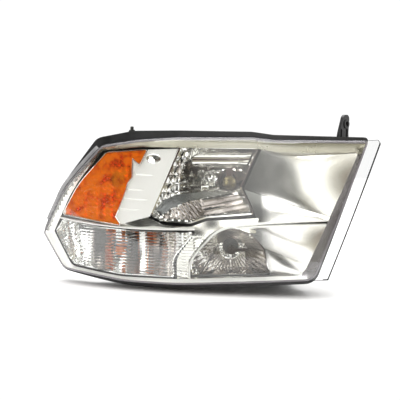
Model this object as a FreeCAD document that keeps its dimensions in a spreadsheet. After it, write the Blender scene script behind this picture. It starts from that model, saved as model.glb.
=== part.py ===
"""Pickup-truck headlight assembly, passenger side, as separate pieces in one parametric document.

Millimetres. +X points inboard (to the middle of the vehicle), +Y to the rear, +Z up. While it is
being drawn, x = 0 and y = 0 are the draft datum: y = 0 is the foremost point of the lens. The cells
shift_x and shift_y carry every piece to the final origin, under the middle of the bounding box.
"""
import FreeCAD, Part
import math
import os
import re

import Sketcher
from FreeCAD import Placement, Rotation, Vector

SIZES = [
    # lens face: two tangent arcs in plan, turned about a far axis to crown it
    ("shift_x", 18.1), ("shift_y", -121.5),
    ("face_r_inner", 1500), ("face_r_outer", 600), ("face_x_inner", 275), ("face_x_blend", -90),
    ("face_slope", 3), ("crown_r", 1000), ("crown_z", 126),
    ("lens_wall", 3), ("lens_depth", 33), ("seal_depth", 36), ("flange_front", 26), ("flange_back", 38.5),
    ("channel_out", 1.5), ("channel_in", 4.5), ("rim_in", 6.5),
    ("skirt_out", 4), ("skirt_wall", 3),
    # housing back wall, where the beam chambers and the outboard chambers end
    ("deep_back", 192), ("outboard_back", 176), ("inboard_back", 104), ("back_wall", 3),
    # chrome bezel
    ("bezel_front", 4), ("bezel_wall", 2.5), ("bezel_depth", 25), ("divider_depth", 24), ("shelf_depth", 38),
    ("shelf_wall", 2.5),
    # reflectors
    ("ledge_depth", 8), ("low_x", 30), ("low_z", 184), ("low_focal", 26), ("low_vertex", 178),
    ("low_front", 40), ("high_x", 34), ("high_z", 66), ("high_focal", 16), ("high_vertex", 176),
    ("high_front", 44),
    ("turn_x", -160), ("turn_z", 66), ("turn_focal", 30), ("turn_vertex", 164), ("turn_tray", 40),
    ("marker_x", -165), ("marker_z", 190), ("marker_tray", 45), ("reflector_wall", 2.5),
    ("amber_front", 10), ("amber_wall", 2.5), ("inner_lens_front", 12), ("inner_lens_wall", 2.5),
    ("panel_front", 15),
    # low beam shield: cup, half-round band above it, foot on the bowl
    ("cup_r", 12), ("band_up", 40.5), ("band_r", 13.5), ("band_y", 131), ("band_left", -34),
    ("band_foot_x", 36), ("band_foot_z", 23),
    # bulb necks, ports and bayonets of the two beam bulbs
    ("neck_in", 14.2), ("neck_out", 19.5), ("neck_back", 190), ("groove_r", 17.2), ("groove_y", 183.5),
    ("groove_w", 4), ("bayonet_turn", 40), ("port_r", 31), ("port_wall", 3), ("port_front", 186),
    ("port_back", 198),
    # beam bulb, measured along its axis from the neck's back face
    ("core_r", 13.9), ("core_len", 13), ("lug_r", 16.8), ("lug_w", 3), ("ring_w", 1.5), ("base_r", 18.2),
    ("base_w", 3.5), ("tail_r", 15), ("tail_len", 8), ("glass_r", 6), ("glass_len", 30), ("plug_x", 24),
    ("plug_y", 15), ("plug_z", 34), ("plug_wall", 2.5), ("plug_hole", 16), ("pin_w", 0.8),
    # turn and marker sockets
    ("turn_hole", 15.2), ("turn_neck", 14.8), ("turn_flange", 19), ("turn_lug", 17), ("turn_glass", 9.5),
    ("marker_hole", 10.2), ("marker_neck", 9.8), ("marker_flange", 13.5), ("marker_lug", 12),
    ("marker_glass", 5),
    # pivots and adjuster
    ("pivot_y", 118), ("pivot_z", 128), ("pivot_left", -118), ("pivot_right", 95), ("ball_r", 5),
    ("ball_gap", 0.08), ("socket_r", 8), ("stud_r", 3), ("adjust_x", 120), ("adjust_z", 45),
    ("gear_apex", 206), ("gear_pitch_r", 8), ("gear_teeth", 12), ("gear_face", 4), ("gear_addendum", 1),
    ("gear_dedendum", 1.3), ("case_x", 26), ("case_y", 28), ("case_below", 14), ("case_above", 26),
    ("case_wall", 2.5), ("drive_r", 4.5), ("drive_top", 92),
    # mounts
    ("tab_x", 217), ("tab_y", 60), ("tab_turn", 50), ("tab_base", 30), ("tab_tip", 18), ("tab_lean", 8),
    ("tab_wall", 5), ("tab_foot", 258), ("tab_crest", 303.5), ("tab_hole_z", 288), ("tab_hole_r", 4.5),
    ("pin_x", -139), ("pin_y", 131), ("pin_top", 282), ("pin_foot", 266.5), ("pin_r", 3),
    ("lug_hole_r", 4.5), ("lug_y", 168),
    ("lug_left", -60), ("lug_right", 112), ("lug_thick", 5), ("snap_x", -232), ("snap_z", 86),
    ("snap_r", 5), ("snap_len", 18),
    ("screw_r", 1.8), ("screw_head", 4.2), ("post_r", 4.5),
]

# Outlines in the XZ plane: (x, z, corner radius).
LENS_EDGE = [(-305, 88, 8), (-266, 27, 22), (-150, 15, 300), (-60, 15, 600), (168, 31, 26), (253, 261, 3),
             (102, 262, 60), (66, 266, 60), (-60, 265, 500), (-124, 260, 120), (-191, 249, 22),
             (-264, 172, 220)]
WING_EDGE = [(-305, 88, 8), (-266, 27, 22), (-150, 15, 300), (-60, 15, 600), (190, 33, 1.5), (272, 258, 3),
             (268, 264, 1), (253, 263, 0.5), (102, 263, 60), (66, 267, 60), (-60, 266, 500), (-124, 261, 120),
             (-191, 250, 22), (-264, 172, 220)]
FLANGE_EDGE = [(-309, 88, 10), (-270, 20, 24), (-150, 4, 300), (-84, 3, 800), (172, 22, 26),
               (257.5, 266.5, 5), (102, 270, 60), (66, 275, 60), (-60, 276, 500),
               (-136, 274.5, 100), (-202, 261, 24),
               (-270, 174, 220)]
BEZEL_OPEN = [(-284, 92, 4), (-250, 32, 18), (-160, 21, 200), (-60, 23, 600), (150, 37.5, 26), (238, 242, 3),
              (106, 242, 30), (72, 248, 30), (-120, 248, 100), (-189, 240, 12), (-247, 168, 200)]
AMBER_EDGE = [(-265, 125, 3), (-172, 116, 2), (-114, 244, 2), (-182, 237, 12), (-234.5, 180, 200)]
PANEL_EDGE = [(-171.4, 117, 0.5), (-108, 131, 2), (-57, 246, 1), (-113.4, 243.5, 0.5)]
TURN_EDGE = [(-279, 92, 3), (-248, 38, 14), (-160, 27, 200), (-66, 28, 4), (-70, 58, 40), (-32, 104, 3),
             (-141, 102.5, 100), (-195, 104.5, 60), (-266, 112, 3)]
LOW_EDGE = [(-104, 130, 3), (-86, 121, 10), (-38, 119, 30), (-10, 130, 30), (68, 138, 2), (46, 181, 2),
            (75, 246, 2), (-54, 246, 2)]
HIGH_EDGE = [(-36, 54, 10), (-17, 82, 60), (4, 104, 30), (38, 112, 30), (64, 103, 3), (84, 76, 3),
             (98, 34, 3), (-34, 27, 3)]
TURN_LENS_EDGE = [(-280.5, 92, 3), (-249, 37, 14), (-160, 25.5, 200), (-43.5, 27, 2), (-42.5, 52, 8),
                  (-31, 73, 60), (-16, 90.5, 60), (-6, 103, 2), (-141, 104, 100), (-195, 106, 60),
                  (-267, 113.5, 3)]
DIVIDER_EDGE = [(-60, 22, 1), (-39.5, 24, 1), (-40.5, 55, 8), (-20, 85, 60), (1.5, 108, 30), (38, 117, 30),
                (66, 106.5, 2), (72, 106, 1), (77, 132, 1), (-9, 125, 30), (-38, 113.5, 30), (-84, 115, 8),
                (-96, 118, 1), (-96, 107, 1), (-26.5, 107, 3), (-61, 60, 40)]
SHELF_LINE = [(-273.5, 117.3), (-195, 109), (-141, 107), (-80, 108.5), (-34, 110)]

# Corners of the inboard chrome panels: (x, z, depth behind the lens face).
PANEL_CORNERS = {"a": (84, 246, 38), "b": (238, 242, 12), "c": (198, 133, 16), "c2": (195, 125, 16),
                 "e": (171, 52, 16), "f": (158, 40, 18), "g": (105, 37, 37), "h": (91, 76, 40),
                 "i": (70, 106, 30), "j": (77, 132, 30), "k": (54, 180, 42)}
PANEL_TRIANGLES = ["abc", "ack", "kcj", ("j", "c", "c2"), ("j", "c2", "i"), ("i", "c2", "e"), "ieh", "hef",
                   "hfg"]

doc = FreeCAD.newDocument("headlight")
sheet = doc.addObject("Spreadsheet::Sheet", "Sizes")
for row, (alias, value) in enumerate(SIZES, start=1):
    sheet.set(f"A{row}", alias)
    sheet.set(f"B{row}", str(value))
    sheet.setAlias(f"B{row}", alias)
doc.recompute()

NODES = {}


def size(name):
    """A driving dimension, read from the sheet."""
    return float(getattr(sheet, name))


def bound(text):
    """An expression whose names are cells of the sheet."""
    return re.sub(r"[a-z][a-z_]*[a-z]", lambda m: "Sizes." + m.group(0), text)


def number(text):
    """The present value of such an expression."""
    return float(sheet.evalExpression(bound(text)))


# --- parametric helpers -------------------------------------------------------------------------

def keep(node, piece):
    """Names a finished piece after the node it becomes."""
    piece.Label = node
    NODES[node] = piece
    return piece


def move(piece, x, y, z, turn=None):
    """Places a piece from sheet expressions, with the shift to the final origin."""
    piece.Placement = Placement(Vector(0, 0, 0), turn or Rotation())
    for axis, text in (("x", f"({x})+shift_x"), ("y", f"({y})+shift_y"), ("z", z)):
        piece.setExpression(f"Placement.Base.{axis}", bound(text))
    return piece


def sketch_of(body, points):
    """A fully constrained sketch on the body's XY plane, its corners at sheet expressions."""
    sketch = body.newObject("Sketcher::SketchObject", "Outline")
    plane = [f for f in body.Origin.OriginFeatures if f.Role == "XY_Plane"][0]
    sketch.AttachmentSupport = [(plane, "")]
    sketch.MapMode = "FlatFace"
    values = [(number(u), number(v)) for u, v in points]
    count = len(points)
    for i in range(count):
        start, end = values[i], values[(i + 1) % count]
        sketch.addGeometry(Part.LineSegment(Vector(*start, 0), Vector(*end, 0)), False)
    for i in range(count):
        sketch.addConstraint(Sketcher.Constraint("Coincident", i, 2, (i + 1) % count, 1))
    for i, texts in enumerate(points):
        for kind, axis, text, value in (("DistanceX", -2, texts[0], values[i][0]),
                                        ("DistanceY", -1, texts[1], values[i][1])):
            if abs(value) < 1e-9:
                sketch.addConstraint(Sketcher.Constraint("PointOnObject", i, 1, axis))
                continue
            index = sketch.addConstraint(Sketcher.Constraint(kind, -1, 1, i, 1, value))
            sketch.setExpression(f"Constraints[{index}]", bound(text))
    return sketch


def turned(name, profile):
    """A body of revolution about its own Y axis; the profile is (radius, y) expressions."""
    body = doc.addObject("PartDesign::Body", name)
    revolution = body.newObject("PartDesign::Revolution", "Turned")
    revolution.Profile = sketch_of(body, profile)
    revolution.ReferenceAxis = (revolution.Profile[0], ["V_Axis"])
    revolution.Angle = 360
    return body


def padded(name, outline, length):
    """A body with the outline in its XY plane, padded along +Z by an expression."""
    body = doc.addObject("PartDesign::Body", name)
    pad = body.newObject("PartDesign::Pad", "Padded")
    pad.Profile = sketch_of(body, outline)
    pad.Length = number(length)
    pad.setExpression("Length", bound(length))
    return body


def primitive(kind, sizes, x="0", y="0", z="0", turn=None):
    """A Part primitive whose sizes and place are local expressions."""
    item = doc.addObject("Part::" + kind, kind)
    for prop, text in sizes.items():
        item.setExpression(prop, bound(text))
    item.Placement = Placement(Vector(0, 0, 0), turn or Rotation())
    for axis, text in (("x", x), ("y", y), ("z", z)):
        if text != "0":
            item.setExpression(f"Placement.Base.{axis}", bound(text))
    return item


ALONG_Y = Rotation(Vector(1, 0, 0), -90)
ALONG_X = Rotation(Vector(0, 1, 0), 90)


def rod(radius, length, x="0", y="0", z="0", turn=ALONG_Y):
    return primitive("Cylinder", {"Radius": radius, "Height": length}, x, y, z, turn)


def block(dx, dy, dz, x="0", y="0", z="0"):
    """A box centred on x and z, starting at y."""
    sizes = {"Length": dx, "Width": dy, "Height": dz}
    return primitive("Box", sizes, f"({x})-({dx})/2", y, f"({z})-({dz})/2")


def fused(name, pieces):
    joined = doc.addObject("Part::MultiFuse", name)
    joined.Shapes = pieces
    joined.Refine = True
    return joined


def less(name, base, tools):
    """base with every tool cut away."""
    cut = doc.addObject("Part::Cut", name)
    cut.Base = base
    cut.Tool = tools[0] if len(tools) == 1 else fused(name + "_tools", tools)
    return cut


def around(piece, count, first="0"):
    """Copies of a piece turned about the Y axis, evenly spaced."""
    copies = []
    for i in range(count):
        copy = doc.addObject("Part::Compound", "Turned")
        copy.Links = [piece]
        angle = number(first) + 360.0 * i / count
        copy.Placement = Placement(Vector(0, 0, 0), Rotation(Vector(0, 1, 0), angle))
        copies.append(copy)
    return copies


def solid_feature(node, shape):
    """A piece whose shape is worked out below; its place follows its shape."""
    feature = doc.addObject("Part::Feature", node)
    solids = shape.Solids
    piece = solids[0] if len(solids) == 1 else Part.makeCompound(solids)
    feature.Shape = piece
    shift = Placement(Vector(size("shift_x"), size("shift_y"), 0), Rotation())
    feature.Placement = shift.multiply(piece.Placement)
    return keep(node, feature)


# --- the lens face and the solids cut from it ---------------------------------------------------

FAR_BACK = 330
NEAR = -60
SLOPE = math.radians(size("face_slope"))
CENTRE_INNER = (size("face_x_inner") + size("face_r_inner") * math.sin(SLOPE),
                size("face_r_inner") * math.cos(SLOPE))
BLEND_SINE = (CENTRE_INNER[0] - size("face_x_blend")) / size("face_r_inner")
BLEND_COSINE = math.sqrt(1 - BLEND_SINE ** 2)
REACH = size("face_r_inner") - size("face_r_outer")
CENTRE_OUTER = (CENTRE_INNER[0] - REACH * BLEND_SINE, CENTRE_INNER[1] - REACH * BLEND_COSINE)


def plan_y(x, depth):
    """y of the face in plan, at crown height, depth behind the outer face."""
    r_inner, r_outer = size("face_r_inner") - depth, size("face_r_outer") - depth
    if x >= CENTRE_INNER[0] - r_inner * BLEND_SINE:
        return CENTRE_INNER[1] - math.sqrt(r_inner ** 2 - (x - CENTRE_INNER[0]) ** 2)
    return CENTRE_OUTER[1] - math.sqrt(r_outer ** 2 - (x - CENTRE_OUTER[0]) ** 2)


def face_y(x, z, depth):
    """y of the crowned face at x and z."""
    radius = size("crown_r") - plan_y(x, depth)
    return size("crown_r") - math.sqrt(radius ** 2 - (z - size("crown_z")) ** 2)


def behind(depth):
    """Everything further back than the face at that depth."""
    level = size("crown_z")

    def point(x):
        return Vector(x, plan_y(x, depth), level)

    x_right, x_left = 330, -350
    x_blend = CENTRE_INNER[0] - (size("face_r_inner") - depth) * BLEND_SINE
    ends = [point(x_right), point(x_blend), point(x_left)]
    inner = Part.Arc(ends[0], point((x_right + x_blend) / 2), ends[1]).toShape()
    outer = Part.Arc(ends[1], point((x_blend + x_left) / 2), ends[2]).toShape()
    left, right = Vector(x_left, FAR_BACK, level), Vector(x_right, FAR_BACK, level)
    back = [Part.makeLine(ends[2], left), Part.makeLine(left, right), Part.makeLine(right, ends[0])]
    face = Part.Face(Part.Wire([inner, outer, *back]))
    axis = Vector(0, size("crown_r"), level)
    swing = 15
    face.rotate(axis, Vector(1, 0, 0), -swing)
    return face.revolve(axis, Vector(1, 0, 0), 2 * swing)


SLABS = {}


def slab(front, back):
    """The layer between two depths behind the lens face."""
    for depth in (front, back):
        if depth not in SLABS:
            SLABS[depth] = behind(depth)
    return SLABS[front].cut(SLABS[back])


def rounded(corners, place):
    """A closed wire with each corner rounded to its own radius; place maps (u, v) to a point."""
    count, edges, starts, ends = len(corners), [], [], []
    for i, (u, v, radius) in enumerate(corners):
        here = Vector(u, v, 0)
        to_last = Vector(*corners[i - 1][:2], 0).sub(here)
        to_next = Vector(*corners[(i + 1) % count][:2], 0).sub(here)
        half = to_last.getAngle(to_next) / 2
        room = min(to_last.Length, to_next.Length) * 0.48
        cut = min(radius / math.tan(half), room)
        radius = cut * math.tan(half)
        to_last.normalize()
        to_next.normalize()
        middle = to_last.add(to_next)
        middle.normalize()
        centre = here.add(middle.multiply(radius / math.sin(half)))
        a, b = here.add(to_last.multiply(cut)), here.add(to_next.multiply(cut))
        inward = here.sub(centre)
        inward.normalize()
        starts.append(a)
        ends.append(b)
        edges.append(Part.Arc(place(a), place(centre.add(inward.multiply(radius))), place(b)).toShape())
    for i in range(count):
        a, b = ends[i], starts[(i + 1) % count]
        if a.distanceToPoint(b) > 1e-6:
            edges.append(Part.makeLine(place(a), place(b)))
    return Part.Wire(Part.__sortEdges__(edges))


def outline(corners, grow=0.0):
    """The face of an XZ outline, grown or shrunk, in front of the lens."""
    face = Part.Face(rounded(corners, lambda p: Vector(p.x, NEAR, p.y)))
    if grow:
        face = face.makeOffset2D(grow, join=2)
    return face


def column(corners, grow=0.0):
    """The outline carried straight back."""
    return outline(corners, grow).extrude(Vector(0, FAR_BACK - NEAR, 0))


BOWL_RINGS = (0, 10, 18, 27, 37, 48, 60, 74, 90, 108, 130)


def bowl(x, z, vertex, focal):
    """The inside of a paraboloid that opens forwards, as a stack of conical rings."""
    points = [Vector(x + r, vertex - r ** 2 / (4 * focal), z) for r in BOWL_RINGS]
    points += [Vector(x, points[-1].y, z), points[0]]
    return Part.Face(Part.makePolygon(points)).revolve(Vector(x, 0, z), Vector(0, 1, 0), 360)


def disc(x, y, z, radius, length):
    """A cylinder along +Y."""
    return Part.makeCylinder(radius, length, Vector(x, y, z), Vector(0, 1, 0))


def tube(x, y, z, outer, inner, length):
    return disc(x, y, z, outer, length).cut(disc(x, y, z, inner, length))


def bar(x_range, y_range, z_range):
    low = Vector(x_range[0], y_range[0], z_range[0])
    return Part.makeBox(x_range[1] - low.x, y_range[1] - low.y, z_range[1] - low.z, low)


def notches(x, z, y_range, radius, width, first):
    """Three radial slots for bayonet lugs."""
    cuts = []
    for i in range(3):
        notch = bar((-width / 2, width / 2), y_range, (0, radius))
        notch.rotate(Vector(0, 0, 0), Vector(0, 1, 0), first + 120 * i)
        notch.translate(Vector(x, 0, z))
        cuts.append(notch.common(disc(x, y_range[0], z, radius, y_range[1] - y_range[0])))
    return cuts


def union(shapes):
    return shapes[0].multiFuse(shapes[1:]).removeSplitter()


# Screws that hold pieces to the housing's back walls: (x, z, wall's outside y).
def screw_points():
    deep, outboard, inboard = size("deep_back"), size("outboard_back"), size("inboard_back")
    return {
        "turn_reflector": [(-196, 40, outboard), (-118, 40, outboard), (-118, 94, outboard)],
        "marker_reflector": [(-192, 150, outboard), (-140, 226, outboard)],
        "chrome_bezel": [(225, 205, inboard), (205, 150, inboard), (170, 84, inboard), (176, 222, inboard)],
    }


# --- outer shells -------------------------------------------------------------------------------

def outer_lens():
    plate = column(WING_EDGE).common(slab(0, size("lens_wall")))
    ring = column(LENS_EDGE).cut(column(LENS_EDGE, -size("lens_wall")))
    return plate.fuse(ring.common(slab(0, size("lens_depth")))).removeSplitter()


def channel(front, back):
    """The groove that takes the lens leg, between two depths."""
    ring = column(LENS_EDGE, size("channel_out")).cut(column(LENS_EDGE, -size("channel_in")))
    return ring.common(slab(front, back))


def plan_block(inset):
    """The housing's plan shape, closed by its stepped back wall."""
    deep, outboard, inboard = size("deep_back"), size("outboard_back"), size("inboard_back")
    corners = [(300, -55, 1), (300, inboard, 1), (152, inboard, 12), (142, deep, 8), (-95, deep, 6),
               (-104, outboard, 4), (-208, outboard, 20), (-262, 212, 30), (-340, 268, 1), (-340, -55, 1)]
    face = Part.Face(rounded(corners, lambda p: Vector(p.x, p.y, -40)))
    if inset:
        face = face.makeOffset2D(-inset, join=2)
    return face.extrude(Vector(0, 0, 380))


def side_block(inset):
    """The housing's side shape, which tapers to the rear."""
    corners = [(-55, 300), (60, 276), (290, 240), (290, 26), (60, 2), (-55, -30)]
    wire = Part.makePolygon([Vector(-360, y, z) for y, z in corners + corners[:1]])
    face = Part.Face(wire)
    if inset:
        face = face.makeOffset2D(-inset, join=2)
    return face.extrude(Vector(720, 0, 0))


def mounting_tab():
    """The upright ear at the inboard top corner, with its bolt hole and two stiffening ribs."""
    base, tip, wall, lean = size("tab_base"), size("tab_tip"), size("tab_wall"), size("tab_lean")
    foot, crest, hole_z = size("tab_foot"), size("tab_crest"), size("tab_hole_z")
    corners = [(-base / 2, foot, 0.5), (base / 2, foot, 0.5), (base / 2 - 1, foot + 16, 10),
               (lean + tip / 2, crest, tip / 2.1), (lean - tip / 2, crest, tip / 2.1),
               (-base / 2, foot + 12, 30)]
    plate = Part.Face(rounded(corners, lambda p: Vector(p.x, -wall / 2, p.y))).extrude(Vector(0, wall, 0))
    rise = 1.5
    front, back = -wall / 2 - rise, wall / 2 + rise
    collar = Part.makeCylinder(7.5, wall + 2 * rise, Vector(lean - 1, front, hole_z), Vector(0, 1, 0))
    ribs = [bar((side - 1.2, side + 1.2), (front, back), (foot, hole_z - 8)) for side in (-7, 10)]
    tab = union([plate, collar, *ribs])
    tab = tab.cut(Part.makeCylinder(size("tab_hole_r"), 40, Vector(lean - 1, -20, hole_z), Vector(0, 1, 0)))
    tab.rotate(Vector(0, 0, 0), Vector(0, 0, 1), size("tab_turn"))
    tab.translate(Vector(size("tab_x"), size("tab_y"), 0))
    return tab.cut(column(LENS_EDGE, size("channel_out")))


def floor_lug(x):
    """A foot under the rear of the housing, with a bolt hole up through it."""
    y, thick = size("lug_y"), size("lug_thick")
    foot = bar((x - 14, x + 14), (y - 16, y + 22), (0, thick))
    foot = foot.makeFillet(6, [e for e in foot.Edges if abs(e.tangentAt(e.FirstParameter).z) > 0.9])
    webs = [bar((x + side - 1.5, x + side + 1.5), (y - 14, y + 18), (0, 24)) for side in (-11.5, 11.5)]
    back = bar((x - 13, x + 13), (y - 16, y - 13), (0, 24))
    hole = Part.makeCylinder(size("lug_hole_r"), thick, Vector(x, y + 6, 0))
    return union([foot, back, *webs]).cut(hole)


def rear_housing():
    flange = column(FLANGE_EDGE).cut(column(LENS_EDGE, -size("rim_in")))
    flange = flange.common(slab(size("flange_front"), size("flange_back")))
    flange = flange.cut(channel(size("flange_front") - 1, size("seal_depth")))
    wall, back = size("skirt_wall"), size("back_wall")
    inside = column(FLANGE_EDGE, -size("skirt_out") - wall).common(plan_block(back)).common(side_block(back))
    outside = column(FLANGE_EDGE, -size("skirt_out")).common(plan_block(0)).common(side_block(0))
    shell = outside.cut(inside).common(behind(size("seal_depth")))
    rooms = inside.common(behind(size("flange_back")))
    lugs = [floor_lug(size(name)).cut(outside) for name in ("lug_left", "lug_right")]
    parts = [flange, shell, mounting_tab(), *lugs]
    port_y, port_len = size("port_front"), size("port_back") - size("port_front")
    ports = [(size("low_x"), size("low_z")), (size("high_x"), size("high_z"))]
    for x, z in ports:
        parts.append(disc(x, port_y, z, size("port_r") + size("port_wall"), port_len))
    boss = size("pin_foot")
    parts.append(Part.makeCylinder(6, 8, Vector(size("pin_x"), size("pin_y"), boss)).cut(rooms))
    outboard, deep = size("outboard_back"), size("deep_back")
    parts.append(disc(size("snap_x"), 180, size("snap_z"), 10, 18).cut(inside))
    parts.append(disc(size("turn_x"), outboard - 3, size("turn_z"), size("turn_hole") + 4, 4))
    parts.append(disc(size("marker_x"), outboard - 3, size("marker_z"), size("marker_hole") + 3.5, 4))
    for x, z, y in stud_points():
        parts.append(disc(x, y - back - 5, z, 7, 5 + back))
    body = union(parts)
    cuts = [disc(x, port_y - 20, z, size("port_r"), 60) for x, z in ports]
    for x, z, hole, lug in ((size("turn_x"), size("turn_z"), size("turn_hole"), size("turn_lug")),
                            (size("marker_x"), size("marker_z"), size("marker_hole"), size("marker_lug"))):
        cuts.append(disc(x, outboard - 20, z, hole, 40))
        cuts += notches(x, z, (outboard - 20, outboard + 4), lug + 0.6, 8, 45)
    cuts += [disc(x, y - 20, z, size("stud_r"), 40) for x, z, y in stud_points()]
    cuts.append(disc(size("adjust_x"), deep - 20, size("adjust_z"), 6, 40))
    for points in screw_points().values():
        cuts += [disc(x, y - 10, z, size("screw_r"), 20) for x, z, y in points]
    cuts += [disc(x, deep - 10, z, size("screw_r"), 20) for x, z in case_screws()]
    cuts += [disc(x, y - 10, z, 4, 20) for x, z, y in vent_points()]
    return body.cut(cuts[0].multiFuse(cuts[1:]))


def stud_points():
    """Where the two pivot studs pass the back wall: (x, z, wall's outside y)."""
    return [(size("pivot_left"), size("pivot_z"), size("outboard_back")),
            (size("pivot_right"), size("pivot_z"), size("deep_back"))]


def vent_points():
    return [(-62, 226, size("deep_back")), (66, 112, size("deep_back"))]


def case_screws():
    """The adjuster case's two fixings on the deep back wall."""
    x, z = size("adjust_x"), size("adjust_z")
    return [(x - 19, z + 6), (x + 18, z + 6)]


# --- trim and reflectors ------------------------------------------------------------------------

def chrome_bezel():
    front, wall = size("bezel_front"), size("bezel_wall")
    lip = column(LENS_EDGE, -size("lens_wall") - 0.4).cut(column(BEZEL_OPEN))
    lip = lip.common(slab(front, front + wall))
    rim = column(BEZEL_OPEN, 2).cut(column(BEZEL_OPEN)).common(slab(front, size("bezel_depth")))
    divider = column(DIVIDER_EDGE).common(slab(size("divider_depth"), size("divider_depth") + 3))
    strip = [Vector(x, NEAR, z) for x, z in SHELF_LINE]
    top = [p.add(Vector(0, 0, size("shelf_wall"))) for p in reversed(strip)]
    shelf = Part.Face(Part.makePolygon([*strip, *top, strip[0]])).extrude(Vector(0, FAR_BACK - NEAR, 0))
    shelf = shelf.common(slab(front + 2, size("shelf_depth")))
    corners = {n: Vector(x, face_y(x, z, d), z) for n, (x, z, d) in PANEL_CORNERS.items()}
    panels = []
    for names in PANEL_TRIANGLES:
        points = [corners[n] for n in names]
        face = Part.Face(Part.makePolygon([*points, points[0]]))
        panels.append(face.extrude(Vector(0, wall, 0)))
    foot = bar((-64, -40), (40, 120), (21.5, 25))
    posts = []
    for x, z, y in screw_points()["chrome_bezel"]:
        post = disc(x, 10, z, size("post_r"), y - size("back_wall") - 10)
        posts.append(post.common(behind_panels(corners)).cut(disc(x, 0, z, size("screw_r"), 400)))
    return union([lip, rim, divider, shelf, foot.common(slab(20, size("bezel_depth"))), *panels, *posts])


def behind_panels(corners):
    """The space just behind the inboard panels."""
    pieces = []
    for names in PANEL_TRIANGLES:
        points = [corners[n].add(Vector(0, 1, 0)) for n in names]
        pieces.append(Part.Face(Part.makePolygon([*points, points[0]])).extrude(Vector(0, 200, 0)))
    return union(pieces)


def tray_reflector(edge, front, back, room, wall_grow, holes, posts):
    """A chromed tray: the outline's walls, a floor behind, and a bowl where one is given."""
    wall = size("reflector_wall")
    clear = size("back_wall") + 4
    hollow = slab(front - 1, back).common(plan_block(clear + wall))
    shell = slab(front, back + wall).common(plan_block(clear))
    if room:
        hollow = hollow.fuse(room)
        moved = room.copy()
        moved.translate(Vector(0, wall, 0))
        shell = shell.fuse(moved).common(behind(front))
    body = column(edge, wall_grow).common(shell)
    body = union([body, *posts]) if posts else body
    body = body.cut(column(edge).common(hollow))
    return body.cut(union(holes) if len(holes) > 1 else holes[0])


def posts_for(name, start):
    """Screw posts from a piece back to the housing wall, each with its pilot hole left for later."""
    return [disc(x, start, z, size("post_r"), y - size("back_wall") - start)
            for x, z, y in screw_points()[name]]


def turn_reflector():
    x, z = size("turn_x"), size("turn_z")
    room = bowl(x, z, size("turn_vertex"), size("turn_focal"))
    posts = [p.common(behind(size("turn_tray"))) for p in posts_for("turn_reflector", 110)]
    holes = [disc(x, 120, z, 19.5, 90)]
    holes += [disc(px, 60, pz, size("screw_r"), 200) for px, pz, _ in screw_points()["turn_reflector"]]
    return tray_reflector(TURN_EDGE, size("inner_lens_front") + size("inner_lens_wall") + 0.3,
                          size("turn_tray"), room, 2, holes, posts)


def marker_reflector():
    x, z = size("marker_x"), size("marker_z")
    posts = [p.common(behind(size("marker_tray"))) for p in posts_for("marker_reflector", 110)]
    holes = [disc(x, 100, z, 12.8, 90)]
    holes += [disc(px, 60, pz, size("screw_r"), 200) for px, pz, _ in screw_points()["marker_reflector"]]
    amber_back = size("amber_front") + size("amber_wall") + 0.2
    tray = tray_reflector([(u, v, r) for u, v, r in AMBER_EDGE], amber_back, size("marker_tray"), None, 1.5,
                          holes, posts)
    panel = column(PANEL_EDGE).common(slab(size("panel_front"), size("panel_front") + 2.5))
    edge = [(-112, 131.5, 1), (-108, 131, 1), (-57, 246, 1), (-61, 246, 1)]
    wing = column(edge).common(slab(size("panel_front"), size("panel_front") + 12))
    return union([tray, panel, wing])


def amber_marker_lens():
    front = size("amber_front")
    return column(AMBER_EDGE, -0.3).common(slab(front, front + size("amber_wall")))


def turn_inner_lens():
    front = size("inner_lens_front")
    return column(TURN_LENS_EDGE).common(slab(front, front + size("inner_lens_wall")))


def neck(x, z):
    """The bulb neck behind a bowl: a collar with a bayonet groove and three entry notches."""
    start = size("neck_back") - 17
    length = size("neck_back") - start
    collar = tube(x, start, z, size("neck_out"), size("neck_in"), length)
    collar = collar.cut(disc(x, size("groove_y"), z, size("groove_r"), size("groove_w")))
    after = size("groove_y") + size("groove_w")
    reach = (after - 0.5, size("neck_back") + 1)
    for notch in notches(x, z, reach, size("groove_r"), 8, size("bayonet_turn")):
        collar = collar.cut(notch)
    return collar


def beam_bowl(edge, x, z, vertex, focal, front):
    """One beam chamber: flat side walls round a paraboloid, with its neck."""
    wall, ledge = size("reflector_wall"), front + size("ledge_depth")
    room = column(edge).common(bowl(x, z, vertex, focal).fuse(slab(front - 1, ledge)))
    skin = column(edge, wall).common(bowl(x, z, vertex + wall, focal).fuse(slab(front, ledge + wall)))
    skin = skin.common(behind(front)).cut(room)
    return skin.cut(disc(x, vertex - 40, z, size("neck_in"), 80)).fuse(neck(x, z))


def ear(x_from, x_to, z, y):
    """An arm from a bowl's side to a ball socket."""
    return bar((min(x_from, x_to), max(x_from, x_to)), (y - 12, y - 6), (z - 9, z + 9))


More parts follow.
